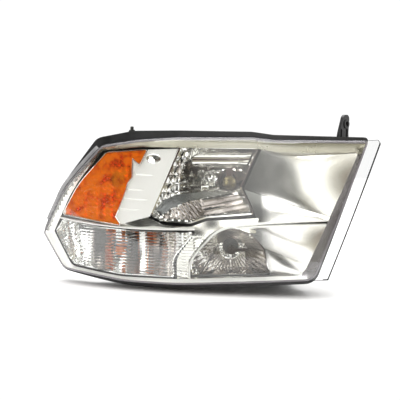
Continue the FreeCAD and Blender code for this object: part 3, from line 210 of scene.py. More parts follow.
def offset(loop, distance, closed=True):
    """The loop moved along its own normals, outwards where the distance is positive."""
    before, after = np.roll(loop, 1, 0), np.roll(loop, -1, 0)
    if not closed:
        before[0], after[-1] = loop[0], loop[-1]
    t = after - before
    t /= np.maximum(np.linalg.norm(t, axis=1, keepdims=True), 1e-9)
    normal = np.stack([t[:, 1], -t[:, 0]], 1)
    if closed and area(loop) < 0:
        normal = -normal
    return loop + normal * distance


def area(loop):
    """Area inside a closed loop, negative where it runs clockwise."""
    x, z = loop[:, 0], loop[:, 1]
    return 0.5 * float(np.sum(x * np.roll(z, -1) - np.roll(x, -1) * z))


def inside(points, loop):
    """Which points lie inside a closed loop."""
    x, z = points[:, 0], points[:, 1]
    result = np.zeros(len(points), bool)
    a, b = loop, np.roll(loop, -1, 0)
    for (x0, z0), (x1, z1) in zip(a, b):
        if z0 == z1:
            continue
        crosses = (z0 > z) != (z1 > z)
        result ^= crosses & (x < (x1 - x0) * (z - z0) / (z1 - z0) + x0)
    return result


def distance_to(points, line, closed=True):
    """Distance of each point to a polyline."""
    a = line if closed else line[:-1]
    b = np.roll(line, -1, 0) if closed else line[1:]
    best = np.full(len(points), 1e9)
    for p, q in zip(a, b):
        d = q - p
        t = np.clip(((points - p) @ d) / max(float(d @ d), 1e-12), 0, 1)
        best = np.minimum(best, np.linalg.norm(points - p - t[:, None] * d, axis=1))
    return best


# --- meshes ---

def mesh_object(name, verts, faces, finish, body, marks=None, sharp=SHARP):
    """A piece in the row frame from draft points; finish names its materials, and marks gives the
    place of each face's own material in that list."""
    mesh = bpy.data.meshes.new(name)
    mesh.from_pydata([place(*v) for v in verts], [], [tuple(int(i) for i in f) for f in faces])
    mesh.validate(clean_customdata=False)
    shell = bmesh.new()
    shell.from_mesh(mesh)
    bmesh.ops.recalc_face_normals(shell, faces=shell.faces)
    shell.to_mesh(mesh)
    shell.free()
    for key in finish.split():
        mesh.materials.append(MATERIALS[key])
    if marks is not None and len(marks) == len(mesh.polygons):
        mesh.polygons.foreach_set("material_index", np.asarray(marks, np.int32))
    smooth_by_angle(mesh, sharp)
    piece = bpy.data.objects.new(name, mesh)
    bpy.context.scene.collection.objects.link(piece)
    if body:
        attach(piece, body)
    return piece


def smooth_by_angle(mesh, degrees):
    """Smooth shading, with a sharp edge wherever two faces turn by more than the angle."""
    mesh.polygons.foreach_set("use_smooth", np.ones(len(mesh.polygons), bool))
    mesh.update()
    count = len(mesh.edges)
    normals = np.zeros(len(mesh.polygons) * 3, np.float32)
    mesh.polygons.foreach_get("normal", normals)
    normals = normals.reshape(-1, 3)
    loops = np.zeros(len(mesh.loops), np.int32)
    mesh.loops.foreach_get("edge_index", loops)
    owner = np.repeat(np.arange(len(mesh.polygons)), [p.loop_total for p in mesh.polygons])
    order = np.argsort(loops, kind="stable")
    edge, face = loops[order], owner[order]
    pair = np.flatnonzero(edge[1:] == edge[:-1])
    turn = np.einsum("ij,ij->i", normals[face[pair]], normals[face[pair + 1]])
    flags = np.zeros(count, bool)
    flags[edge[pair[turn < math.cos(math.radians(degrees))]]] = True
    attribute = mesh.attributes.new("sharp_edge", "BOOLEAN", "EDGE")
    attribute.data.foreach_set("value", flags)


def triangulate(outline, holes=(), step=(6.0, 6.0), lines=(), origin=(0.0, 0.0), margin=0.4):
    """Points and triangles that fill an outline on a regular grid, with lines kept as edges."""
    points, edges = [], []
    for loop in (outline, *holes):
        base, n = len(points), len(loop)
        points += [tuple(p) for p in loop]
        edges += [(base + i, base + (i + 1) % n) for i in range(n)]
    for line in lines:
        base = len(points)
        points += [tuple(p) for p in line]
        edges += [(base + i, base + i + 1) for i in range(len(line) - 1)]
    lo, hi = outline.min(0), outline.max(0)
    xs = np.arange(math.floor((lo[0] - origin[0]) / step[0]), math.ceil((hi[0] - origin[0]) / step[0]) + 1)
    zs = np.arange(math.floor((lo[1] - origin[1]) / step[1]), math.ceil((hi[1] - origin[1]) / step[1]) + 1)
    gx, gz = np.meshgrid(xs * step[0] + origin[0], zs * step[1] + origin[1])
    grid = np.stack([gx.ravel(), gz.ravel()], 1)
    keep = inside(grid, outline)
    near = margin * min(step)
    for loop in holes:
        keep &= ~inside(grid, loop)
    grid = grid[keep]
    clear = distance_to(grid, outline) > near
    for loop in holes:
        clear &= distance_to(grid, loop) > near
    for line in lines:
        clear &= distance_to(grid, np.asarray(line, float), False) > near
    points += [tuple(p) for p in grid[clear]]
    verts, _, faces, _, _, _ = delaunay_2d_cdt([Vector(p) for p in points], edges, [], 0, 1e-6)
    verts = np.array([(v.x, v.y) for v in verts])
    faces = np.array([f for f in faces if len(f) == 3])
    middle = verts[faces].mean(1)
    keep = inside(middle, outline)
    for loop in holes:
        keep &= ~inside(middle, loop)
    faces = faces[keep]
    a, b, c = (verts[faces[:, i]] for i in range(3))
    ab, ac = b - a, c - a
    cross = ab[:, 0] * ac[:, 1] - ab[:, 1] * ac[:, 0]
    faces = faces[np.abs(cross) > 1e-7]
    cross = cross[np.abs(cross) > 1e-7]
    faces[cross < 0] = faces[cross < 0][:, ::-1]
    used = np.unique(faces)
    renumber = np.full(len(verts), -1)
    renumber[used] = np.arange(len(used))
    return verts[used], renumber[faces]


def border(faces):
    """Edges that belong to one triangle only, in that triangle's direction."""
    seen = {}
    for f in faces:
        for i in range(3):
            a, b = int(f[i]), int(f[(i + 1) % 3])
            if (b, a) in seen:
                del seen[(b, a)]
            else:
                seen[(a, b)] = True
    return list(seen)


def slab(name, outline, front, back, finish, body="housing", holes=(), step=(6.0, 6.0), lines=(),
         origin=(0.0, 0.0), marks=None, sharp=SHARP):
    """A closed plate over an outline, between two height functions of (x, z)."""
    flat, faces = triangulate(outline, holes, step, lines, origin)
    x, z = flat[:, 0], flat[:, 1]
    yf, yb = np.broadcast_to(front(x, z), x.shape), np.broadcast_to(back(x, z), x.shape)
    n = len(flat)
    verts = np.concatenate([np.stack([x, yf, z], 1), np.stack([x, yb, z], 1)])
    rim = [(a, a + n, b + n, b) for a, b in border(faces)]
    every = [tuple(f) for f in faces] + [tuple(f[::-1] + n) for f in faces] + rim
    kinds = None
    if marks is not None:
        chosen = list(marks(flat[faces].mean(1)))
        rim_points = np.array([(flat[r[0]] + flat[r[3]]) / 2 for r in rim])
        kinds = chosen + chosen + list(marks(rim_points))
    return mesh_object(name, verts, every, finish, body, kinds, sharp)


def strip(name, loops, finish, body="housing", closed=True):
    """Quads between successive loops of draft points, and from the last loop back to the first."""
    n, rows = len(loops[0]), len(loops)
    faces = []
    for r in range(rows):
        here, there = r * n, ((r + 1) % rows) * n
        for i in range(n if closed else n - 1):
            j = (i + 1) % n
            faces.append((here + i, here + j, there + j, there + i))
    if not closed:
        faces.append(tuple(r * n for r in range(rows)))
        faces.append(tuple(r * n + n - 1 for r in reversed(range(rows))))
    return mesh_object(name, np.concatenate(loops), faces, finish, body)


def wall(name, line, front, back, thickness, finish, body="housing", closed=True, rows=6):
    """A wall that stands behind a line in the xz plane, from one height function to another."""
    x, z = line[:, 0], line[:, 1]

    def loop(side, share):
        y = front(x, z) * (1 - share) + back(x, z) * share
        return np.stack([side[:, 0], y, side[:, 1]], 1)

    shares = [k / rows for k in range(rows + 1)]
    other = offset(line, thickness, closed)
    loops = [loop(line, t) for t in shares] + [loop(other, t) for t in reversed(shares)]
    return strip(name, loops, finish, body, closed)


def sweep(name, line, profile, depth, finish, body="housing", closed=False):
    """A section of (across, deeper) points carried along a line at a depth behind the lens."""
    y = face_y(line[:, 0], line[:, 1], depth)
    loops = []
    for across, deep in profile:
        moved = offset(line, across, closed)
        loops.append(np.stack([moved[:, 0], y + deep, moved[:, 1]], 1))
    return strip(name, loops, finish, body, closed)


def circle(x, z, radius, n=40):
    """A closed round loop."""
    a = np.linspace(0, 2 * np.pi, n, endpoint=False)
    return np.stack([x + radius * np.cos(a), z + radius * np.sin(a)], 1)


def turned(name, profile, axis, finish, body, segments=64):
    """A closed solid of revolution about the line along Y through (x, z); profile is (radius, y)."""
    loops = []
    for r, y in profile:
        ring = circle(*axis, max(r, 0.02), segments)
        loops.append(np.stack([ring[:, 0], np.full(segments, y), ring[:, 1]], 1))
    return strip(name, loops, finish, body)


def smooth_line(points, step=2.0):
    """A Catmull-Rom curve through the points."""
    p = [Vector(q) for q in points]
    p = [p[0] * 2 - p[1], *p, p[-1] * 2 - p[-2]]
    out = []
    for i in range(1, len(p) - 2):
        n = max(1, int((p[i + 1] - p[i]).length / step))
        for k in range(n):
            t = k / n
            out.append(0.5 * ((2 * p[i]) + (p[i + 1] - p[i - 1]) * t
                              + (2 * p[i - 1] - 5 * p[i] + 4 * p[i + 1] - p[i + 2]) * t * t
                              + (3 * p[i] - p[i - 1] - 3 * p[i + 1] + p[i + 2]) * t ** 3))
    out.append(p[-2])
    return np.array([(q.x, q.y) for q in out])


# --- materials ---

class Nodes:
    """A small wrapper that adds nodes and links to one material or world."""

    def __init__(self, owner, output):
        self.owner = owner
        owner.use_nodes = True
        self.tree = owner.node_tree
        self.tree.nodes.clear()
        self.out = self.add(output)

    def add(self, kind, **inputs):
        """A new node: _name=value sets a property, and Name=value an input, with _ for a space."""
        node = self.tree.nodes.new(kind)
        for key, value in inputs.items():
            if key.startswith("_"):
                setattr(node, key[1:], value)
            else:
                node.inputs[key.replace("_", " ")].default_value = value
        return node

    def link(self, a, b):
        self.tree.links.new(a, b)
        return self

    def texture(self, kind, output, **inputs):
        """One output of a texture node in the object's own coordinates."""
        where = self.add("ShaderNodeTexCoord")
        node = self.add(kind, **inputs)
        self.link(where.outputs["Object"], node.inputs["Vector"])
        return node.outputs[output]

    def noise(self, scale, detail=4.0):
        return self.texture("ShaderNodeTexNoise", "Fac", Scale=scale, Detail=detail)

    def schlick(self, ior):
        """Share of light that a thin sheet's surface mirrors, the same from both sides."""
        base = ((ior - 1) / (ior + 1)) ** 2
        weight = self.add("ShaderNodeLayerWeight", Blend=0.5)
        power = self.add("ShaderNodeMath", _operation="POWER")
        power.inputs[1].default_value = 5.0
        scaled = self.add("ShaderNodeMath", _operation="MULTIPLY_ADD")
        scaled.inputs[1].default_value = 1 - base
        scaled.inputs[2].default_value = base
        self.link(weight.outputs["Facing"], power.inputs[0]).link(power.outputs[0], scaled.inputs[0])
        return scaled.outputs[0]

    def ramp(self, value, low, high, start=0.3, end=0.7):
        """Maps a 0..1 pattern to a number range."""
        node = self.add("ShaderNodeMapRange", From_Min=start, From_Max=end, To_Min=low, To_Max=high)
        self.link(value, node.inputs["Value"])
        return node.outputs["Result"]

    def colours(self, value, first, second, start=0.35, end=0.65):
        """Maps a 0..1 pattern to a mix of two colours."""
        node = self.add("ShaderNodeValToRGB")
        for element, at, colour in zip(node.color_ramp.elements, (start, end), (first, second)):
            element.position = at
            element.color = (*colour, 1)
        self.link(value, node.inputs["Fac"])
        return node.outputs["Color"]

    def bump(self, value, strength, distance):
        node = self.add("ShaderNodeBump", Strength=strength, Distance=distance)
        self.link(value, node.inputs["Height"])
        return node.outputs["Normal"]

    def blend(self, share, first, second):
        """A mix of two shaders; share is a number or a socket."""
        node = self.add("ShaderNodeMixShader")
        if isinstance(share, float):
            node.inputs[0].default_value = share
        else:
            self.link(share, node.inputs[0])
        self.link(first.outputs[0], node.inputs[1]).link(second.outputs[0], node.inputs[2])
        return node

    def finish(self, shader):
        """Sends the shader to the output, and gives the finished material."""
        self.link(shader.outputs[0], self.out.inputs["Surface"])
        return self.owner


def surface(name):
    return Nodes(bpy.data.materials.new(name), "ShaderNodeOutputMaterial")


def solid(name, first, second, rough, metallic, scale, bump=0.0, grain=900.0, distance=0.0002):
    """A general surface: two-tone colour, uneven roughness and a fine grain."""
    n = surface(name)
    shader = n.add("ShaderNodeBsdfPrincipled", Metallic=metallic)
    patches = n.noise(scale)
    n.link(n.colours(patches, first, second), shader.inputs["Base Color"])
    n.link(n.ramp(patches, *rough), shader.inputs["Roughness"])
    if bump:
        n.link(n.bump(n.noise(grain, 3.0), bump, distance), shader.inputs["Normal"])
    return n.finish(shader)


def clear(name, tint, ior=1.49, rough=0.02, haze=0.0, haze_colour=(0.6, 0.6, 0.6)):
    """Thin clear plastic: what is behind shows through, and the surface mirrors by its angle."""
    n = surface(name)
    see = n.add("ShaderNodeBsdfTransparent", Color=(*tint, 1))
    gloss = n.add("ShaderNodeBsdfGlossy", Roughness=rough, Color=(1, 1, 1, 1))
    n.link(n.bump(n.noise(9.0, 2.0), 0.05, 0.002), gloss.inputs["Normal"])
    shader = n.blend(n.schlick(ior), see, gloss)
    if haze:
        shader = n.blend(haze, shader, n.add("ShaderNodeBsdfDiffuse", Color=(*haze_colour, 1)))
    return n.finish(shader)


def refracting(name, colour):
    """Solid moulded clear plastic that bends what is behind it."""
    n = surface(name)
    shader = n.add("ShaderNodeBsdfPrincipled", Roughness=0.0, IOR=1.49, Transmission_Weight=1.0,
                   Base_Color=(*colour, 1))
    n.link(n.bump(n.noise(60.0, 2.0), 0.03, 0.0004), shader.inputs["Normal"])
    return n.finish(shader)


def amber(name):
    """Amber acrylic: tinted see-through with a lit body and moulded facets."""
    n = surface(name)
    see = n.add("ShaderNodeBsdfTransparent", Color=(1.0, 0.35, 0.02, 1))
    body = n.add("ShaderNodeBsdfPrincipled", Roughness=0.14)
    pattern = n.noise(55.0, 6.0)
    n.link(n.colours(pattern, (0.55, 0.10, 0.004), (1.0, 0.34, 0.01), 0.36, 0.56), body.inputs["Base Color"])
    cells = n.texture("ShaderNodeTexVoronoi", "Distance", Scale=190.0)
    n.link(n.bump(cells, 0.9, 0.0012), body.inputs["Normal"])
    return n.finish(n.blend(0.4, see, body))


def painted_reflection_gradient(name, dark, light, start, end):
    """Satin chrome with a painted reflection: its colour goes from a dark shade to a light one between two
    draft x positions.
    """
    n = surface(name)
    shader = n.add("ShaderNodeBsdfPrincipled", Metallic=1.0)
    where = n.add("ShaderNodeTexCoord")
    split = n.add("ShaderNodeSeparateXYZ")
    n.link(where.outputs["Object"], split.inputs[0])
    across = n.ramp(split.outputs["X"], 0.0, 1.0, place(start, 0, 0)[0], place(end, 0, 0)[0])
    n.link(n.colours(across, dark, light, 0.0, 1.0), shader.inputs["Base Color"])
    n.link(n.ramp(n.noise(30.0), 0.16, 0.24), shader.inputs["Roughness"])
    n.link(n.bump(n.noise(500.0, 3.0), 0.03, 0.0002), shader.inputs["Normal"])
    return n.finish(shader)


# Plain surfaces: name, two colours, roughness range, metallic, scale of the patches, and for a grain
# its strength, scale and depth in metres.
SOLIDS = {
    "chrome": ("bright_chrome", (0.86, 0.85, 0.81), (0.93, 0.92, 0.89), (0.02, 0.05), 1.0, 25.0, 0.02, 40.0,
               0.0008),
    "bowl": ("bowl_chrome", (0.88, 0.88, 0.87), (0.95, 0.95, 0.94), (0.015, 0.04), 1.0, 25.0),
    # Orange chrome for patches of the turn bowl: a painted reflection of the amber bulb.
    "copper": ("amber_painted_reflection_chrome", (0.40, 0.10, 0.03), (0.80, 0.32, 0.12), (0.1, 0.2), 1.0, 60.0),
    "satin": ("satin_chrome", (0.86, 0.85, 0.82), (0.93, 0.92, 0.9), (0.16, 0.24), 1.0, 30.0, 0.03, 500.0),
    "satin_grey": ("satin_grey_chrome", (0.15, 0.16, 0.16), (0.30, 0.31, 0.31), (0.18, 0.26), 1.0, 20.0, 0.03,
                   400.0),
    # Near-white and hardly metallic: on the chrome bezel's bottom it is a painted reflection of the white
    # floor.
    "pale": ("pale_satin", (0.93, 0.93, 0.90), (0.98, 0.98, 0.96), (0.28, 0.38), 0.2, 18.0, 0.03, 500.0),
    # The next three rows give the bezel band painted reflections: olive on top, lilac-grey inboard, dark
    # along the outboard edge.
    "trim_top": ("trim_top", (0.40, 0.385, 0.30), (0.54, 0.52, 0.43), (0.22, 0.32), 0.8, 14.0, 0.02, 60.0),
    "trim_side": ("trim_side", (0.40, 0.38, 0.40), (0.52, 0.50, 0.52), (0.2, 0.3), 0.8, 14.0, 0.02, 60.0),
    "trim_dark": ("trim_dark", (0.20, 0.20, 0.19), (0.42, 0.42, 0.40), (0.18, 0.28), 0.9, 40.0, 0.02, 60.0),
    # Mottled dark and light chrome: a painted reflection for zones of the bowls, the necks and the high
    # beam's shield.
    "smoked": ("mottled_painted_reflection_chrome", (0.10, 0.075, 0.065), (0.62, 0.58, 0.55), (0.03, 0.08), 1.0, 30.0),
    "soft": ("soft_chrome", (0.80, 0.79, 0.75), (0.88, 0.87, 0.84), (0.10, 0.15), 1.0, 12.0, 0.02, 30.0),
    "lens_foot": ("lens_foot_grey", (0.26, 0.26, 0.27), (0.44, 0.44, 0.45), (0.25, 0.35), 0.0, 30.0, 0.05,
                  300.0),
    "black": ("black_plastic", (0.010, 0.010, 0.011), (0.020, 0.020, 0.021), (0.30, 0.45), 0.0, 40.0, 0.25,
              1400.0, 0.0001),
    "gloss_black": ("gloss_black", (0.008, 0.008, 0.009), (0.014, 0.014, 0.015), (0.08, 0.16), 0.0, 30.0,
                    0.05, 900.0, 0.0001),
    "sealant": ("sealant_grey", (0.22, 0.22, 0.23), (0.34, 0.34, 0.35), (0.45, 0.6), 0.0, 120.0, 0.3, 300.0),
    "rubber": ("boot_rubber", (0.012, 0.012, 0.012), (0.03, 0.03, 0.03), (0.6, 0.8), 0.0, 90.0, 0.3, 700.0),
    "steel": ("zinc_steel", (0.48, 0.47, 0.44), (0.62, 0.61, 0.58), (0.22, 0.38), 1.0, 140.0, 0.1),
    "dark_steel": ("blackened_steel", (0.04, 0.04, 0.04), (0.09, 0.09, 0.085), (0.3, 0.5), 0.6, 140.0, 0.2),
    "nylon": ("white_nylon", (0.74, 0.72, 0.66), (0.82, 0.80, 0.75), (0.35, 0.5), 0.0, 60.0, 0.1),
    "grey_nylon": ("grey_nylon", (0.16, 0.165, 0.17), (0.22, 0.225, 0.23), (0.4, 0.55), 0.0, 60.0, 0.15),
    "orange_seal": ("silicone_seal", (0.50, 0.13, 0.03), (0.62, 0.2, 0.05), (0.4, 0.55), 0.0, 90.0, 0.1),
    "brass": ("tinned_brass", (0.62, 0.55, 0.38), (0.75, 0.68, 0.5), (0.2, 0.35), 1.0, 200.0, 0.1),
    "bulb_tip": ("bulb_tip_coat", (0.16, 0.13, 0.07), (0.3, 0.25, 0.13), (0.1, 0.2), 0.8, 60.0),
}


def make_materials():
    m = {key: solid(*row) for key, row in SOLIDS.items()}
    # The inboard panels' colour runs dark to light across x: a painted reflection of the dim room and the
    # bright light.
    m["upper"] = painted_reflection_gradient("upper_panel_painted_reflection", (0.36, 0.36, 0.34), (0.93, 0.92, 0.88), 54.0, 96.0)
    m["middle"] = painted_reflection_gradient("middle_panel_painted_reflection", (0.06, 0.06, 0.055), (0.90, 0.89, 0.87), 80.0, 98.0)
    m["lower"] = painted_reflection_gradient("lower_panel_painted_reflection", (0.13, 0.13, 0.125), (0.92, 0.91, 0.89), 78.0, 104.0)
    m["lens"] = clear("clear_lens", (0.985, 0.987, 0.985))
    # The side wall's grey-lilac haze is painted light: it stands in for the look refraction gives the wall
    # seen edge-on.
    m["lens_side"] = clear("lens_side", (0.80, 0.79, 0.81), haze=0.45, haze_colour=(0.55, 0.52, 0.56))
    m["lens_edge"] = clear("lens_edge", (0.10, 0.10, 0.11), haze=0.5, haze_colour=(0.02, 0.02, 0.025))
    m["quartz"] = clear("quartz_glass", (0.97, 0.97, 0.95), ior=1.46, rough=0.0, haze=0.02)
    m["amber_bulb"] = clear("amber_bulb_glass", (1.0, 0.45, 0.08), ior=1.5, haze=0.8,
                            haze_colour=(0.95, 0.25, 0.02))
    m["flutes"] = refracting("fluted_acrylic", (0.98, 0.985, 0.98))
    m["amber"] = amber("amber_acrylic")
    return m


MATERIALS = make_materials()


# --- pieces ---

def lens_cover():
    """The clear cover: its face with rounded edges and inboard wing, and the side wall behind it."""
    outline = rounded(WING_EDGE, 4.0)
    body_edge = rounded(LENS_EDGE, 4.0)
    radius, fade, edge_width, slanted_width, inner_ring = 5.0, 12.0, 0.6, 1.8, 4.0

    def edge_drop(x, z):
        points = np.stack([x, z], 1)
        on_body = np.clip(distance_from_wing(points) / fade, 0, 1)
        fall = np.clip(1 - distance_to(points, outline) / radius, 0, 1)
        return on_body * (radius - np.sqrt(np.maximum(radius ** 2 - (radius * fall) ** 2, 0)))

    def dark_rim(p):
        edge = distance_to(p, outline)
        slanted = (p[:, 0] > 180) & (p[:, 1] < 259) & (p[:, 1] > 31)
        return ((edge < edge_width) | (slanted & (edge < slanted_width))).astype(int)

    rings = [offset(outline, -d) for d in (edge_width, slanted_width, inner_ring)]
    rings = [np.concatenate([r, r[:1]]) for r in rings]
    face = slab("lens_face", outline, lambda x, z: face_y(x, z) + edge_drop(x, z),
                lambda x, z: face_y(x, z, LENS_THICK) + edge_drop(x, z), "lens lens_edge",
                step=(12.0, 12.0), lines=rings, marks=dark_rim)
    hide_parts("outer_lens")
    # The side wall takes that hazed material, a painted look of refraction through the wall.
    wall("lens_side_wall", offset(body_edge, -0.2), at(LENS_THICK + 0.2), at(33.0), -2.8, "lens_side",
         rows=4)


def lens_foot():
    """The lens's foot along the slanted outboard edge, a grey lip in front of the housing's channel."""
    line = smooth_line([(-296.0, 110.0), (-281.0, 140.0), (-264.0, 172.5), (-240.0, 201.0),
                        (-214.0, 229.0), (-199.0, 244.0)], 4.0)
    section = [(-5.2, FOOT_DEPTH + 1.0), (-4.8, FOOT_DEPTH), (0.6, FOOT_DEPTH - 1.0),
               (0.6, FOOT_DEPTH + 1.2)]
    sweep("lens_foot", line, section, 0.0, "lens_foot")


def distance_from_wing(points):
    """How far a point of the face lies outboard of the wing's root line."""
    root = np.array([(168.0, 31.0), (253.0, 261.0)])
    d = root[1] - root[0]
    side = (points[:, 0] - root[0, 0]) * d[1] - (points[:, 1] - root[0, 1]) * d[0]
    return np.maximum(-side / np.linalg.norm(d), 0)


def bezel():
    """The bright trim round the opening: a sloped band whose sides carry painted reflections, and a rim."""
    outer, inner = offset(rounded(LENS_EDGE, 3.0), -3.4), rounded(BEZEL_OPEN, 3.0)
    outer_depth, slope, rim_depth, foot = 4.2, 9.0, 13.0, 25.0
    divider_depth, flute, flute_top, flute_fade = 21.0, 5.0, 104.0, 12.0

    def share(x, z):
        points = np.stack([x, z], 1)
        s, t = distance_to(points, outer), distance_to(points, inner)
        return s / np.maximum(s + t, 1e-6)

    def front(x, z):
        return face_y(x, z, outer_depth) + slope * share(x, z) ** 1.3

    def painted_reflection_sides(p):
        """Painted reflections by side: 0 along the bottom (pale, for the white floor), 1 along the top
        (olive, for the dim room), 2 on the inboard side (lilac-grey), 3 (dark, by the outer edge) and 4 on
        the outboard side.
        """
        x, z = p[:, 0], p[:, 1]
        kind = np.where(z > 205, 1, 0)
        kind = np.where((x > 148 + (z - 38) * 0.431) & (z < 240) & (z > 36), 2, kind)
        outboard = (x < -180) & (z > 92) & (z < 236)
        return np.where(outboard, np.where(distance_to(p, outer) < 5.0, 3, 4), kind)

    def dished(x, z):
        low = np.clip((flute_top - z) / flute_fade, 0, 1)
        ripple = np.abs(np.sin((z + 0.05 * x) * np.pi / flute)) * low
        return (face_y(x, z, divider_depth) + 0.9 * ripple
                + 0.5 * np.sin(x / 9.0) * np.sin(z / 7.0) * (1 - low))

    # Each side of the one chrome band gets its own painted reflection colour.
    band_painted_reflections = "pale trim_top trim_side trim_dark soft"
    band = slab("bezel_band", outer, front, behind(front, PLATE), band_painted_reflections, holes=[inner], step=(4.0, 4.0),
                marks=painted_reflection_sides)
    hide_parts("chrome_bezel")
    wall("bezel_rim", inner, at(rim_depth), at(foot), 1.8, "soft", rows=3)
    slab("divider_plate", rounded(DIVIDER_EDGE, 3.0), dished, at(foot), "soft", step=(3.0, flute / 4))


def ridges():
    """The bright eyebrow over the high beam and the shelf over the turn lamp."""
    for name, line, depth, half, drop, top, reach in (
            ("eyebrow_ridge", EYEBROW, 15.0, 1.8, 2.0, (1.0, 0.4), 14.0),
            ("eyebrow_lower_ridge", EYEBROW_LOW, 16.0, 1.8, 2.0, (1.0, 0.4), 14.0),
            ("turn_shelf_ridge", SHELF_LINE, 10.0, 1.4, 1.6, (0.8, 0.3), 26.0)):
        side, low = top
        section = [(-half, reach), (-half, drop), (-side, low), (0.0, 0.0), (side, low), (half, drop),
                   (half, reach)]
        sweep(name, smooth_line(line), section, depth, "pale")


def blend_patch(corners, bulge):
    """Depth over four corners (x, z, depth), bilinear in the corners' own frame, with a dished middle."""
    (x0, z0, d0), (x1, z1, d1), (x2, z2, d2), (x3, z3, d3) = corners

    def depth(x, z):
        t = np.clip((z - z0) / (z3 - z0 + 1e-9), 0, 1)
        for _ in range(3):
            left = x0 + (x3 - x0) * t
            right = x1 + (x2 - x1) * t
            s = np.clip((x - left) / np.maximum(right - left, 1e-6), 0, 1)
            low = z0 + (z1 - z0) * s
            high = z3 + (z2 - z3) * s
            t = np.clip((z - low) / np.maximum(high - low, 1e-6), 0, 1)
        flat = d0 * (1 - s) * (1 - t) + d1 * s * (1 - t) + d2 * s * t + d3 * (1 - s) * t
        return flat - bulge * np.sin(np.pi * s) * np.sin(np.pi * t) ** 0.8

    return depth


def inboard_panels():
    """The dished chrome facets between the beam bowls and the inboard edge, coloured with painted
    reflections.
    """
    for name, material, bulge, corners, outline in PANELS:
        depth = blend_patch(corners, bulge)
        edge = rounded(outline or [(x, z, 1.0) for x, z, _ in corners], 3.0)

        def front(x, z):
            return face_y(x, z, 0) + depth(x, z)

        slab(name, edge, front, behind(front, PLATE), material, step=(4.0, 4.0))


def amber_marker():
    """The amber side lens and the chrome tray behind it."""
    outline = rounded(AMBER_EDGE, 2.0)
    tray_edge = rounded(TRAY_EDGE, 3.0)
    cell_x, cell_z, floor_depth, deepest = 14.0, 9.0, 38.0, 165.0

    def facet(x, z):
        u, v = np.sin((x + 0.25 * z) * 2 * np.pi / 7.0), np.sin((z - 0.2 * x) * 2 * np.pi / 6.0)
        return 0.45 * u * v

    def crown(x, z):
        return face_y(x, z, 10.0) + 2.0 * np.clip((z - 118) / 12.0, 0, 1) ** 0.5

    def tray_back(x, z):
        base = np.minimum(face_y(x, z, floor_depth), deepest)
        u, v = np.mod((x - GRID_X) / cell_x, 1) * 2 - 1, np.mod(z / cell_z, 1) * 2 - 1
        return base - 2.2 * (1 - u * u) - 1.6 * (1 - v * v)

    lens = slab("amber_lens_body", outline, crown, lambda x, z: crown(x, z) + 2.4 + facet(x, z),
                "amber", step=(1.75, 1.75))
    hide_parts("amber_marker_lens")
    section = [(-0.9, 3.0), (-0.9, 0.5), (-0.4, 0.0), (0.4, 0.0), (0.9, 0.5), (0.9, 3.0)]
    sweep("amber_edge_bead", offset(outline, 0.9), section, 9.6, "chrome", closed=True)
    tray = slab("marker_tray_floor", tray_edge, tray_back, behind(tray_back, 2.2), "bowl",
                step=(cell_x / 4, cell_z / 4), origin=(GRID_X, 0.0), holes=[circle(*MARKER_AXIS, 12.8)])
    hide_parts("marker_reflector")
    x, z = MARKER_AXIS
    rim_y, foot_y = float(face_y(x, z, 15.5)), float(tray_back(np.array([x]), np.array([z]))[0])
    collar = [(6.2, rim_y), (8.2, rim_y), (8.6, foot_y), (6.2, foot_y)]
    turned("marker_bulb_collar", collar, MARKER_AXIS, "dark_steel", "housing")
    wall("marker_tray_wall", tray_edge, at(13.5), tray_back, 1.5, "bowl", rows=5)


def satin_panel():
    """The pale panel between the marker and the low beam, with faint steps and an oval detail."""
    outline = rounded(SATIN_EDGE, 2.0)
    grooves_at = ((140.0, -122.0), (158.0, -108.0), (175.0, -116.0), (201.0, -98.0))

    def oval(x, z):
        return ((x + 100.0) / 13.0) ** 2 + ((z - 229.0) / 8.5) ** 2

    def front(x, z):
        slope = (x + 165.0) / 108.0
        grooves = sum(np.exp(-((z - level) / 0.9) ** 2) * np.clip((end - x) / 6.0, 0, 1)
                      for level, end in grooves_at)
        dish = 4.0 * np.clip(1 - np.sqrt(oval(x, z)), 0, 1) ** 0.5
        return face_y(x, z, 12.5) + 3.5 * slope + 0.8 * grooves + dish

    def oval_detail(p):
        return (oval(p[:, 0], p[:, 1]) < 0.9).astype(int)

    slab("satin_side_panel", outline, front, at(19.5), "pale bowl", step=(1.5, 1.0),
         origin=(0.0, 112.0), marks=oval_detail)
    edge = smooth_line([(-107, 131), (-82, 188), (-57.5, 245)], 3.0)
    wall("satin_panel_return", edge, at(16.0), at(30.0), -1.5, "satin", closed=False, rows=3)


